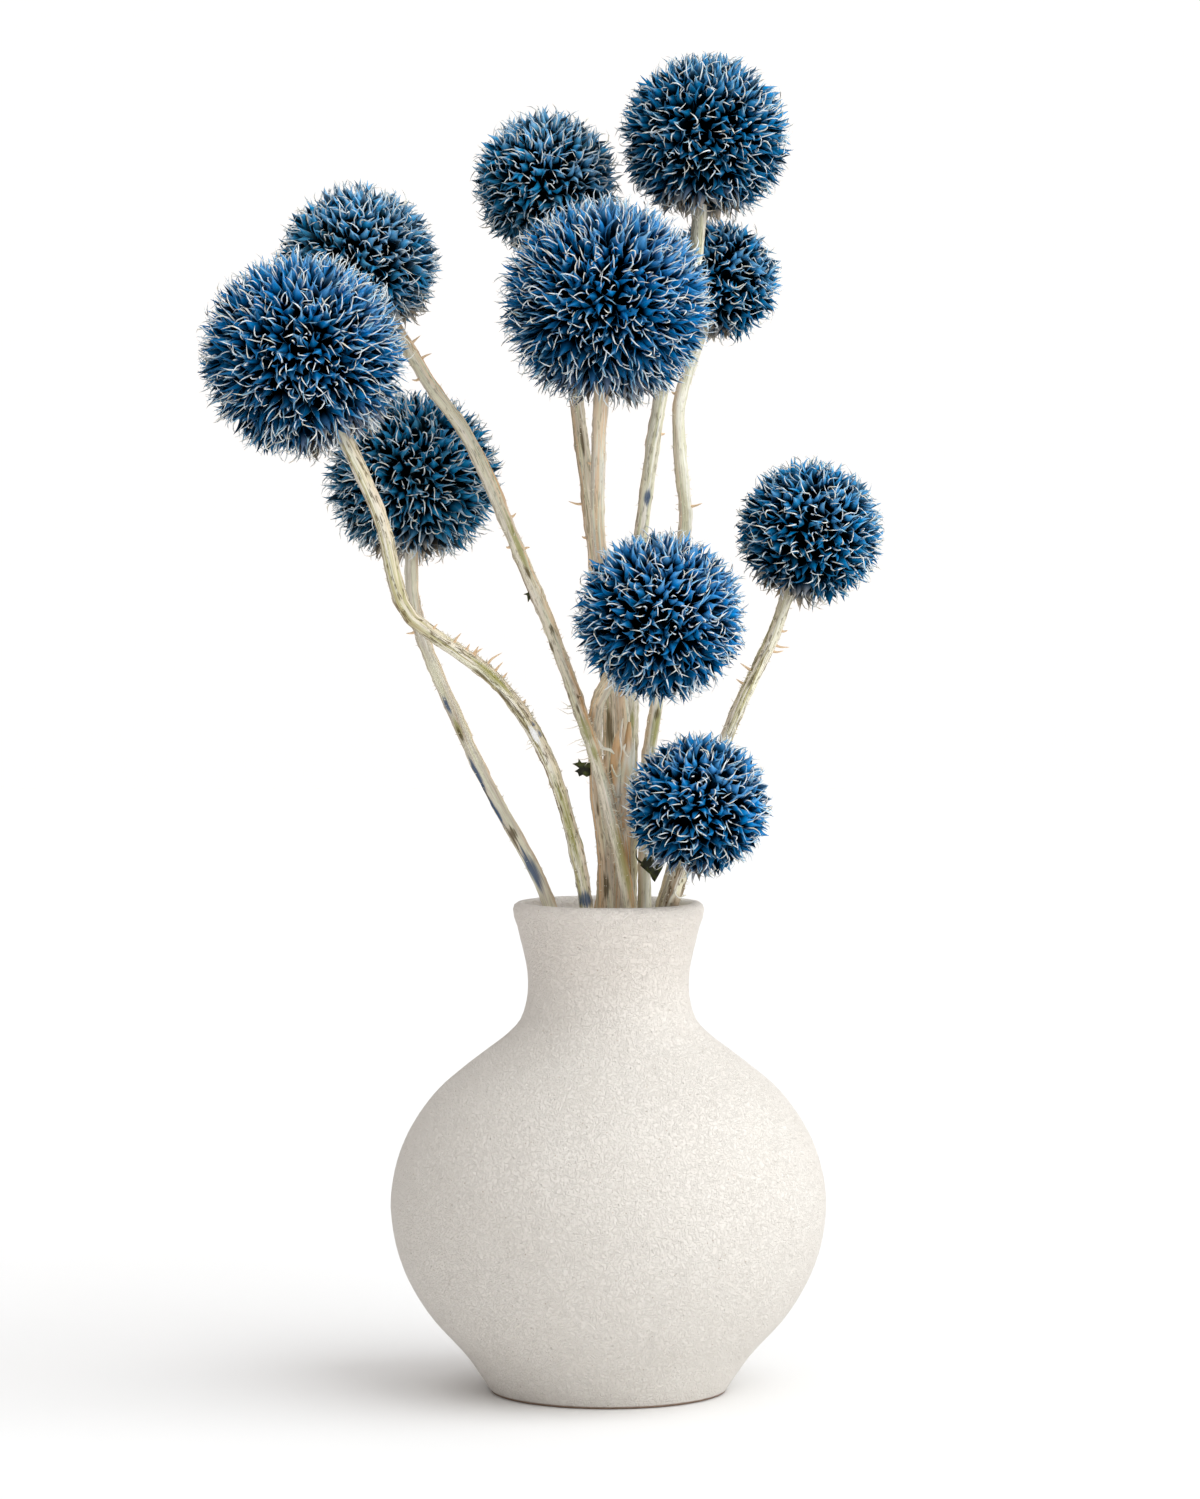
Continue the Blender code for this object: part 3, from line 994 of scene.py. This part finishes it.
# %% Peeling bark
def ribbon(shape, points, width, turn, curl=0.0, thick=0.16):
    """A thin strip of bark along a smooth run of places; turn says which way it is wide."""
    run = flowing([Vector(point) * MM for point in points], 4)
    rings = []
    for i, place in enumerate(run):
        ahead, behind = run[min(i + 1, len(run) - 1)], run[max(i - 1, 0)]
        aim = (ahead - behind).normalized()
        share = i / (len(run) - 1)
        side = Vector((math.cos(turn + curl * share), math.sin(turn + curl * share), 0.1))
        side = (side - aim * side.dot(aim)).normalized()
        out = aim.cross(side)
        half = width / 2 * (0.12 + 0.88 * math.sin(math.pi * min(share * 1.1 + 0.04, 1.0))) * MM
        deep = thick / 2 * MM
        bulge = out * width * 0.2 * MM
        ring = (side * -half + out * deep, out * deep + bulge, side * half + out * deep,
                side * half - out * deep, bulge - out * deep, side * -half - out * deep)
        rings.append([shape.verts.new(place + corner) for corner in ring])
    skin_rings(shape, rings)


# Places along the strip, width, way it is wide, curl
BARK_STRIPS = [
    (((2.4, -7.0, 166.0), (1.8, -8.4, 159.0), (2.2, -9.0, 152.0), (2.6, -7.4, 140.0)), 2.8, 0.2, 0.5),
    (((5.2, -6.6, 168.0), (4.6, -7.8, 158.0), (4.0, -8.2, 149.0), (4.0, -6.4, 131.0)), 3.2, -0.3, 0.6),
    (((6.0, -6.2, 158.0), (5.8, -7.8, 151.0), (5.0, -8.2, 144.0), (5.6, -6.6, 128.0)), 2.2, -0.5, 0.8),
    (((3.4, -6.4, 142.0), (3.6, -7.6, 136.0), (4.2, -7.6, 130.0), (5.0, -6.4, 123.0)), 2.4, 0.1, 0.4),
]
BARK_CURLS = [
    (((-3.0, -9.6, 164.0), (-1.8, -10.2, 161.8), (0.4, -11.0, 161.2), (1.2, -10.6, 160.2)),
     1.8, 0.4, 0.8),
    (((3.6, -8.4, 169.0), (3.0, -9.4, 165.0), (3.2, -9.8, 161.0), (2.4, -9.4, 157.0)), 0.9, 0.6, 1.2),
    (((0.8, -8.8, 157.6), (0.9, -10.6, 156.6), (2.0, -11.0, 154.6), (3.2, -10.2, 155.2)), 1.3, 1.2, 1.5),
    (((1.2, -8.8, 152.8), (1.2, -10.6, 151.4), (2.2, -11.0, 149.4), (3.4, -10.2, 150.2)), 1.3, 1.0, 1.8),
    (((1.8, -8.6, 148.0), (1.7, -10.4, 146.4), (2.7, -10.8, 144.6), (3.8, -10.0, 145.6)), 1.2, 1.1, 1.5),
    (((2.4, -8.0, 143.4), (2.4, -9.8, 141.6), (3.4, -10.2, 140.2), (4.2, -9.2, 141.4)), 1.1, 1.0, 1.6),
    (((4.2, -7.6, 162.6), (3.8, -9.6, 161.2), (4.8, -10.0, 159.4), (5.6, -9.4, 160.4)), 1.0, 0.9, 1.2),
    (((6.4, -6.6, 164.0), (6.2, -8.8, 158.0), (5.2, -9.2, 151.0), (5.0, -8.2, 143.0)), 0.8, -0.5, 1.6),
    (((18.0, -14.2, 127.4), (16.4, -14.8, 126.2), (17.4, -15.2, 124.8), (19.2, -14.4, 125.4)),
     0.9, 1.2, 1.2),
]
# How fast the bark's pattern runs over the strips, for each metre
STRIP_PATTERN = 130


def make_bark_strips(name, strips, tones, material):
    shape = bmesh.new()
    for strip in strips:
        ribbon(shape, *strip)
    made = finish_shape(name, shape, material, tones)
    places = all_vectors(made.data.vertices, "co") * STRIP_PATTERN
    layer = made.data.attributes.new("bark", "FLOAT_VECTOR", "POINT")
    layer.data.foreach_set("vector", places.ravel())
    fit(made, "dry_stem")


make_thorns(bark)
make_hairs(bark)
make_bark_strips("peeled_bark", BARK_STRIPS, {"peach": 0.9, "side": 0.45}, bark)
make_bark_strips("bark_curls", BARK_CURLS, {"peach": 0.45}, bark)

# %% [markdown]
# ## Leaf remains
#
# Three scraps of dried leaf, nearly black, still cling to the stalks: a torn one with two
# points on the left, a folded one on a thin crooked stem in front, and a tiny burr above. A
# flat card with a see-through edge would do from far away, but it has no thickness from the
# side. A torn outline is filled with a ring and a fan of faces instead, cupped a little, and
# given a back and a rim.

# %% Leaf scraps
def leaf_paint():
    paint = Paint("dried_leaf", 0.6, Specular_IOR_Level=0.3)
    spots = paint.noise(paint.place(), 0.6, detail=3.0)
    colour = paint.mix(paint.step(spots, 0.4, 0.65), rgb(32, 35, 20), rgb(74, 82, 36))
    return paint.coat(colour, spots, height=0.3 * MM, strength=0.5)


def torn_plate(shape, outline, origin, right, up, cup, thick=0.35):
    """A thin cupped plate with a torn outline, given in millimetres to the right and up."""
    right, up = Vector(right).normalized(), Vector(up).normalized()
    out = right.cross(up).normalized()
    centre = Vector((sum(x for x, y in outline), sum(y for x, y in outline))) / len(outline)

    def spot(x, y, level):
        rise = cup * ((x - centre.x) ** 2 + (y - centre.y) ** 2) + level
        return shape.verts.new((Vector(origin) + right * x + up * y + out * rise) * MM)

    rims = []
    for level in (-thick / 2, thick / 2):
        rim = [spot(x, y, level * 0.4) for x, y in outline]
        inner = [spot(*Vector((x, y)).lerp(centre, 0.5), level) for x, y in outline]
        middle = spot(*centre, level)
        band(shape, rim, inner)
        for i, corner in enumerate(inner):
            shape.faces.new((corner, inner[(i + 1) % len(inner)], middle))
        rims.append(rim)
    band(shape, *rims)


# Outlines, in millimetres to the right and up
TORN_LEAF = [
    (1.6, 1.4), (0.5, 1.2), (-0.5, 1.1), (-1.3, 2.3), (-1.4, 1.2), (-2.9, 0.9), (-1.7, 0.1),
    (-1.1, -0.4), (-2.3, -1.1), (-1.5, -1.5), (-1.2, -2.4), (-0.2, -2.0), (0.7, -2.5), (1.7, -2.0),
]
FOLDED_LEAF = [
    (-0.6, 2.6), (1.2, 2.8), (2.8, 1.8), (4.8, 1.9), (4.2, -0.4), (2.6, -4.0), (1.9, -3.1),
    (1.2, -1.6), (0.1, -0.7), (-1.5, 0.6),
]
BURR = [(1.0, 0.6), (0.1, 1.9), (-0.3, 0.6), (-1.5, 0.1), (-0.5, -0.2), (0.1, -2.0), (0.7, -0.5)]
# The crooked stem, from the folded leaf to its stalk
TWIG = [(9.4, -11.8, 133.0), (7.8, -9.6, 133.4), (7.0, -7.2, 134.4), (6.9, -5.0, 136.4)]


def make_leaves():
    burr_place = stalk_site(2, 200.2, -88)[0] / MM
    # Name, outline, origin, the ways to its right and up, cupping, the solids it stands for
    leaves = [
        ("torn_leaf", TORN_LEAF, (-6.2, -4.6, 156.8), (1, 0.15, 0), (0, -0.2, 1), 0.08,
         ["leaf_scrap_1"]),
        ("folded_leaf", FOLDED_LEAF, (9.2, -12.0, 132.0), (1, -0.1, 0.05), (0.1, -0.2, 1), -0.06,
         ["leaf_scrap_2"]),
        ("black_burr", BURR, burr_place, (1, 0, 0), (0.2, 0, 1), 0.1, []),
    ]
    material = leaf_paint()
    for name, outline, origin, right, up, cup, nodes in leaves:
        shape = bmesh.new()
        torn_plate(shape, outline, origin, right, up, cup)
        if name == "folded_leaf":
            spike(shape, flowing([Vector(point) * MM for point in TWIG], 3), 0.4 * MM, 5)
        fit(finish_shape(name, shape, material, {}), "dry_leaf", *nodes)


make_leaves()

# %% [markdown]
# ## One floret
#
# A globe thistle's head is a ball of some hundreds of florets. Each floret is a small cup of
# five pointed, folded bracts with three thin curling petals in the middle. Only the tips
# catch the light, so the shape matters most there. Crossed flat cards would need fewer
# faces, but they look flat from the side, and the model is seen from all sides. A floret is
# built here in each of nine forms instead, standing up from the origin. It
# carries marks for its paint: how far along its blade a point lies, whether it is on the
# blade's edge or inside its fold, whether it belongs to a pale petal, and how chalky the
# whole blade is.

# %% Bracts and petals
# Shares of a bract's length, and how wide a broad and a thready bract are there
BRACT_STATIONS = (0.0, 0.24, 0.44, 0.58, 0.69, 0.78, 0.89)
BROAD_TIP = (0.4, 0.85, 1.0, 0.84, 0.56, 0.31, 0.14)
THREAD_TIP = (0.4, 0.8, 1.0, 0.92, 0.55, 0.2, 0.11)
PETAL_STATIONS = (0.0, 0.26, 0.52, 0.77)
BRACT_CHALK = (0.0, 1.0, 0.1, 0.3, 0.62)
# A fold's depth as a share of the width, the thickness, and where the tip starts to curl
FOLD = 0.28
BLADE_THICKNESS = 0.14
TIP_START = 0.55
PETALS = 3
MARKS = ("along", "edge", "pale", "inside", "chalk")


class FloretMaker:
    """Collects the blades of one floret, in millimetres."""

    def __init__(self, seed):
        self.rng = random.Random(seed)
        self.shape = bmesh.new()
        layers = self.shape.verts.layers.float
        self.marks = {name: layers.new(name) for name in MARKS}

    def point(self, place, **marks):
        vert = self.shape.verts.new(place)
        for name, value in marks.items():
            vert[self.marks[name]] = value
        return vert

    def bract(self, angle, root, belly, flare, length, width, sway, twist, curl, chalk):
        """A folded blade that cups round the middle and runs out into a thin curling tip."""
        out = Vector((math.cos(angle), math.sin(angle), 0))
        side = Vector((-math.sin(angle), math.cos(angle), 0))
        up = Vector((0, 0, 1))
        thready = chalk > 0.5

        def spine(t):
            away = root + belly * math.sin(math.pi * t * 0.85) + flare * t ** 3
            place = out * away + side * sway * t ** 2 + up * length * t
            beyond = max(t - TIP_START, 0.0) / (1 - TIP_START)
            pull = beyond ** 2 * (1.0 if thready else 0.5)
            return place + (out * curl[0] + side * curl[1]) * pull

        rings = []
        for t, share in zip(BRACT_STATIONS, THREAD_TIP if thready else BROAD_TIP):
            middle = spine(t)
            turned = Matrix.Rotation(twist * t, 3, "Z")
            half = turned @ side * width / 2 * share
            facing = turned @ out
            fold = facing * (FOLD * width * share)
            marks = {"along": t, "chalk": chalk}
            rings.append((
                self.point(middle - half, edge=1.0, **marks),
                self.point(middle + fold + facing * BLADE_THICKNESS, **marks),
                self.point(middle + half, edge=1.0, **marks),
                self.point(middle + fold, inside=1.0, **marks),
            ))
        skin_rings(self.shape, rings, self.point(spine(1.0), along=1.0, edge=1.0, chalk=chalk))

    def petal(self, angle, start, bend, finish, thick, pale):
        """A thin thread through three places: it rises from the cup and curls over."""
        turned = Matrix.Rotation(angle, 3, "Z")
        start, bend, finish = turned @ start, turned @ bend, turned @ finish
        rings = []
        for t in PETAL_STATIONS:
            place = start * (1 - t) ** 2 + bend * 2 * t * (1 - t) + finish * t ** 2
            aim = (bend - start).lerp(finish - bend, t).normalized()
            across = aim.orthogonal().normalized() * thick * (1.0 - 0.4 * t)
            turns = [Matrix.Rotation(math.tau * corner / 3, 3, aim) for corner in range(3)]
            rings.append([self.point(place + turn @ across, along=t, pale=pale) for turn in turns])
        skin_rings(self.shape, rings, self.point(finish, along=1.0, pale=pale))

    def floret(self, height):
        rng = self.rng
        first = rng.uniform(0, math.tau)
        for i, chalk in enumerate(BRACT_CHALK):
            self.bract(
                first + math.tau * i / len(BRACT_CHALK) + rng.uniform(-0.4, 0.4),
                root=0.3,
                belly=rng.uniform(1.0, 2.2),
                flare=rng.uniform(0.2, 2.2),
                length=height * rng.uniform(0.76, 1.06),
                width=rng.uniform(2.5, 3.9),
                sway=rng.uniform(-1.3, 1.3),
                twist=rng.uniform(-0.7, 0.7),
                curl=(rng.uniform(-1.4, 1.8), rng.uniform(-2.4, 2.4)),
                chalk=chalk,
            )
        for i in range(PETALS):
            low = Vector((rng.uniform(0.3, 1.8), 0.0, height * rng.uniform(0.46, 0.6)))
            side = rng.uniform(1.0, 3.4) * rng.choice((-1, 1))
            far = low.x + rng.uniform(-0.8, 2.4)
            high = height * (rng.uniform(1.0, 1.12) if i == 0 else rng.uniform(0.88, 1.04))
            waist = Vector((far + rng.uniform(-1.0, 1.0), -side * rng.uniform(0.0, 0.8), 0.0))
            waist.z = low.z + (high - low.z) * rng.uniform(0.5, 0.95)
            self.petal(
                first + math.tau * (i + rng.uniform(-0.4, 0.4)) / PETALS,
                low,
                waist,
                Vector((far, side, high)),
                thick=rng.uniform(0.19, 0.27),
                pale=rng.uniform(0.8, 1.0),
            )

    def mesh(self, name, height):
        self.floret(height)
        made = bpy.data.meshes.new(name)
        self.shape.to_mesh(made)
        self.shape.free()
        made.shade_smooth()
        made.transform(Matrix.Scale(MM, 4))
        return made


# In millimetres, before a head's own recipe stretches it
FLORET_HEIGHT = 10.0
FLORET_FORMS = 9


def floret_forms():
    """A collection of floret forms for the recipe to choose from."""
    forms = bpy.data.collections.new("floret_forms")
    for number in range(FLORET_FORMS):
        name = f"floret_form_{number}"
        mesh = FloretMaker(number).mesh(name, FLORET_HEIGHT)
        forms.objects.link(bpy.data.objects.new(name, mesh))
    print("a floret has", sum(len(face.vertices) - 2 for face in mesh.polygons), "triangles")
    return forms


forms = floret_forms()

# %% [markdown]
# Floret paint runs from near black at the root through deep blue to a greyer blue at the
# tip, with thin pale edges and pale threads. The near black at the root, deep in the head,
# is partly painted shade, and the inside of each blade's fold is painted near black too, as
# painted shade. A painted highlight runs along the keels. Some florets are brighter or greyer
# than their neighbours, and those that hang round the stalk have dried to beige. Florets on
# the upper right, where the light comes from, are painted paler as painted light, and those
# on the far side darker as painted shade. Painting each floret by hand is out of the
# question, so all of this comes from the marks of the blades and from values that each
# floret or head stores on its points.

# %% Floret paint
def floret_paint(name, dryness, deep, bright, dusty, pale):
    paint = Paint(name, 0.7, Specular_IOR_Level=0.0)
    along, edge, thread, inside, chalk, tint, under, lit = (
        paint.attribute(name) for name in (*MARKS, "tint", "under", "lit")
    )
    here = paint.place()
    patch = paint.noise(here, 0.12, detail=2.0)
    fine = paint.noise(here, 0.6, detail=2.0)
    greyed = paint.step(tint + (patch - 0.5) * 1.6, 0.6, 1.1)
    # painted highlight: a lighter streak along each blade's keel
    sheen = paint.step(edge, 0.34, 0.0) * paint.step(along, 0.4, 0.7) * paint.step(fine, 0.35, 0.6)
    # painted light: blades on the lit side are washed paler
    painted_light_wash = paint.step(lit, 0.84, 1.0) * paint.step(along, 0.4, 0.8) * paint.step(patch, 0.35, 0.6)
    rim = paint.step(edge, 0.88, 0.97) * paint.step(along, 0.36, 0.6)
    # painted light: tips on the lit side are painted paler
    painted_light_tips = paint.step(lit, 0.7, 1.0) * 0.22
    tip = paint.step(along, 0.68, 0.84) * (paint.step(chalk, 0.3, 0.9) * 0.85 + 0.05 + painted_light_tips)
    blade = paint.layers(
        # dark root to bright top: partly the blade's own tone, partly painted shade deep in the head
        paint.mix(paint.step(along, 0.3, 0.8), deep, bright),
        (greyed * 0.45, dusty),
        (sheen * 0.3, paint.mix(0.3, bright, pale)),
        # painted shade: the inside of each blade's fold is painted near black
        (paint.step(inside, 0.1, 0.6) * 0.92, deep),
        (paint.step(tint, 0.4, 0.0) * 0.5, deep),
        # painted shade: florets away from the light are darkened toward the deep tone
        ((1.0 - lit) * 0.65, deep),
        (painted_light_wash * 0.5, paint.mix(0.45, bright, pale)),
        (rim * paint.step(fine, 0.38, 0.55) * (chalk * 0.3 + 0.4), pale),
        (tip.clamped(), pale),
    )
    warm = paint.step(paint.noise(here, 0.3, detail=1.0), 0.52, 0.64)
    straw = paint.mix(warm * 0.7, rgb(248, 253, 252), rgb(244, 234, 208))
    threads = paint.mix(paint.step(along, 0.0, 0.4) * thread, bright, straw)
    colour = paint.mix(thread.math("CEIL", thread), blade, threads)
    dry = under * paint.step(along, 0.4, 0.85)
    return paint.coat(paint.mix(dry * dryness, colour, rgb(222, 200, 168)))


# %% [markdown]
# A growing head sets each new floret at the golden angle from the last one, which fills the
# ball evenly. Random places would leave bald spots and clumps. The recipe therefore counts
# round a ball by that angle, lets each seat stray and each floret lean a little, and picks
# one of the nine forms for it. The tips are then ruffled, and a core painted near black, as
# painted shade between the floret roots, closes the middle.

# %% The head recipe
# How far a floret's seat strays on a ball of radius 1, how far it leans in radians, and at
# which share of the core's radius its root sits
STRAY = 0.045
LEAN = 0.16
SUNK = 0.96
# Heights on that ball: it is bare below the first, for the stalk, and florets are wholly
# dry at the second and fresh from the third on
BARE = -0.965
DRY = -0.97
FRESH = -0.78


def head_recipe(name, forms, material):
    """Florets over a ball, evenly by the golden angle, with a bare spot for the stalk."""
    recipe = Recipe(name)
    count = recipe.size("Florets")
    core = recipe.size("Core radius")
    tall = recipe.size("Floret length")
    wide = recipe.size("Floret width")
    ruffle = recipe.size("Ruffle")
    seed = recipe.size("Seed", "NodeSocketInt")

    index = recipe.add("GeometryNodeInputIndex")
    height = 1.0 - (index * 2.0 + 1.0) / count
    ring = (1.0 - height * height) ** 0.5
    turn = index * (math.pi * (3 - math.sqrt(5)))
    even = recipe.vector(ring * turn.math("COSINE", turn), ring * turn.math("SINE", turn), height)
    stray = recipe.random((-STRAY,) * 3, (STRAY,) * 3, seed, "FLOAT_VECTOR")
    outward = recipe.combine("NORMALIZE", recipe.combine("ADD", even, stray))
    points = recipe.add("GeometryNodePoints", None, {"Count": count, "Position": outward})
    here = recipe.add("GeometryNodeInputPosition")
    level = recipe.add("ShaderNodeSeparateXYZ", None, {0: here}, output="Z")
    bare = recipe.add("FunctionNodeCompare", {"operation": "LESS_THAN"}, {0: level, 1: BARE})
    inputs = {"Geometry": points, "Selection": bare}
    points = recipe.add("GeometryNodeDeleteGeometry", None, inputs)
    points = recipe.store(points, "under", 1.0 - recipe.step(level, DRY, FRESH))
    points = recipe.store(points, "tint", recipe.random(0.0, 1.0, seed + 1.0))

    facing = recipe.add("FunctionNodeAlignRotationToVector", {"axis": "Z"}, {"Vector": here})
    lean = recipe.vector(
        recipe.random(-LEAN, LEAN, seed + 2.0),
        recipe.random(-LEAN, LEAN, seed + 3.0),
        recipe.random(0.0, math.tau, seed + 4.0),
    )
    inputs = {0: facing, 1: recipe.add("FunctionNodeEulerToRotation", None, {0: lean})}
    facing = recipe.add("FunctionNodeRotateRotation", {"rotation_space": "LOCAL"}, inputs)
    shapes = recipe.add("GeometryNodeCollectionInfo", None, {
        "Collection": forms, "Separate Children": True, "Reset Children": True,
    })
    seats = recipe.add("GeometryNodeSetPosition", None, {
        "Geometry": points, "Position": recipe.combine("SCALE", here, scale=core * SUNK),
    })
    florets = recipe.add("GeometryNodeInstanceOnPoints", None, {
        "Points": seats,
        "Instance": shapes,
        "Pick Instance": True,
        "Instance Index": recipe.random(0, FLORET_FORMS - 1, seed + 6.0, "INT"),
        "Rotation": facing,
        "Scale": recipe.vector(wide, wide, tall * recipe.random(0.9, 1.0, seed + 5.0)),
    })
    florets = recipe.add("GeometryNodeRealizeInstances", None, {"Geometry": florets})
    along = recipe.read("along")
    wave = recipe.noise(here, 170.0, detail=1.0, rough=0.5, output="Color")
    wave = recipe.combine("SUBTRACT", wave, (0.5, 0.5, 0.5))
    florets = recipe.move(florets, recipe.combine("SCALE", wave, scale=along * along * ruffle))
    # The core has no marks, so the floret paint gives it a root's near black: painted shade between the
    # roots
    ball = recipe.add("GeometryNodeMeshIcoSphere", None, {"Radius": core, "Subdivisions": 4})
    both = recipe.node("GeometryNodeJoinGeometry")
    recipe.tree.links.new(ball.socket, both.inputs[0])
    recipe.tree.links.new(florets.socket, both.inputs[0])
    return recipe.finish(Wire(recipe, both.outputs[0]), material)


# %% [markdown]
# ## Ten heads
#
# A head's solid is a faceted ball with spikes. Its innermost corners lie on the ball, so a
# sphere fitted to them gives the centre and the core, and its furthest corner gives the
# reach. Florets end at about that reach, and only a few threads pass it, by 2 mm at most.
# Measuring keeps the heads right when the solid changes, which typed-in places would not. A
# stalk's own line says which way is down.

# %% Where each head is
# Corners nearer than this share of the furthest one lie on the core
CORE_SHARE = 0.78


def ball_of(node):
    """Centre, core radius and reach of a head's solid."""
    places = np.array([vert.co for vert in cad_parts[node].data.vertices])
    rough = (places.min(0) + places.max(0)) / 2
    away = np.linalg.norm(places - rough, axis=1)
    core = places[away < CORE_SHARE * away.max()]
    table = np.c_[2 * core, np.ones(len(core))]
    answer = np.linalg.lstsq(table, (core ** 2).sum(1), rcond=None)[0]
    centre = answer[:3]
    radius = math.sqrt(answer[3] + centre @ centre)
    reach = np.linalg.norm(places - centre, axis=1).max()
    return Vector(centre), radius, reach


_, largest_core, largest_reach = ball_of("flower_head_5")
print("largest head reaches", round(largest_reach / MM, 1), "mm, its core", round(largest_core / MM, 1))


def keep_inside(mesh):
    """Draws back the few tips that would pass the solid model's box."""
    margin = 0.1 * MM
    low, high = np.array(CAD_LOW) + margin, np.array(CAD_HIGH) - margin
    places = np.clip(all_vectors(mesh.vertices, "co"), low, high)
    mesh.vertices.foreach_set("co", places.ravel())


# Light comes from above, from the right and a little from the front; florets on this side are painted
# paler
PAINTED_LIGHT_FROM = (0.45, -0.1, 0.89)


def light_side(mesh, centre, painted_light_strength):
    """Stores how far each point lies on the lit side, which sets the florets' painted light and shade.
    """
    away = all_vectors(mesh.vertices, "co") - np.array(centre)
    away /= np.linalg.norm(away, axis=1)[:, None] + 1e-9
    store(mesh, "lit", ramp(away @ np.array(PAINTED_LIGHT_FROM), -0.75, 0.75) * painted_light_strength)


# %% [markdown]
# The heads were dyed in three blues. Each is painted paler above and on the right, as
# painted light, and darker on the far side, as painted shade, some heads more than others,
# so every head has a factor of its own for that.

# %% Dyes and heads
# Name and dryness of the paint, its deep, bright, dusty and pale tones, and how strong the
# painted light and shade of each head of this dye are
DYES = {
    "blue": (
        ("deep_blue_florets", 0.4),
        (rgb(0, 7, 14), rgb(0, 142, 222), rgb(0, 92, 136), rgb(170, 218, 244)),
        {1: 1.0, 5: 1.0, 9: 1.3, 10: 1.2},
    ),
    "teal": (
        ("grey_teal_florets", 0.7),
        (rgb(4, 17, 23), rgb(26, 164, 228), rgb(98, 154, 170), rgb(222, 238, 246)),
        {2: 1.25, 3: 0.8, 4: 1.4},
    ),
    "navy": (
        ("dark_navy_florets", 0.75),
        (rgb(0, 9, 15), rgb(0, 142, 212), rgb(20, 98, 128), rgb(174, 216, 236)),
        {6: 0.95, 7: 1.4, 8: 1.35},
    ),
}
FLORETS_PER_SQUARE_MM = 0.031
RUFFLE = 2.2 * MM


def make_head(number, recipe, dye, painted_light_strength):
    centre, core, reach = ball_of(f"flower_head_{number}")
    down = (stem_lines[number][0][0] - centre).normalized()
    sizes = {
        "Florets": float(round(FLORETS_PER_SQUARE_MM * 4 * math.pi * (reach / MM) ** 2)),
        "Core radius": core,
        "Floret length": (reach - core * SUNK) / (FLORET_HEIGHT * MM),
        "Floret width": 1.0,
        "Ruffle": RUFFLE,
        "Seed": 20 * number,
    }
    turn = down.to_track_quat("-Z", "Y").to_matrix().to_4x4()
    host = show(f"head_host_{number}", bpy.data.meshes.new("head_host"))
    place = Matrix.Translation(centre) @ turn
    head = grow(f"thistle_head_{number}", recipe, host, sizes, place)
    keep_inside(head.data)
    light_side(head.data, centre, painted_light_strength)
    fit(head, f"{dye}_florets", f"flower_head_{number}")


for dye, (finish, tones, heads) in DYES.items():
    recipe = head_recipe(f"{dye} head", forms, floret_paint(*finish, *tones))
    for number, painted_light_strength in heads.items():
        make_head(number, recipe, dye, painted_light_strength)
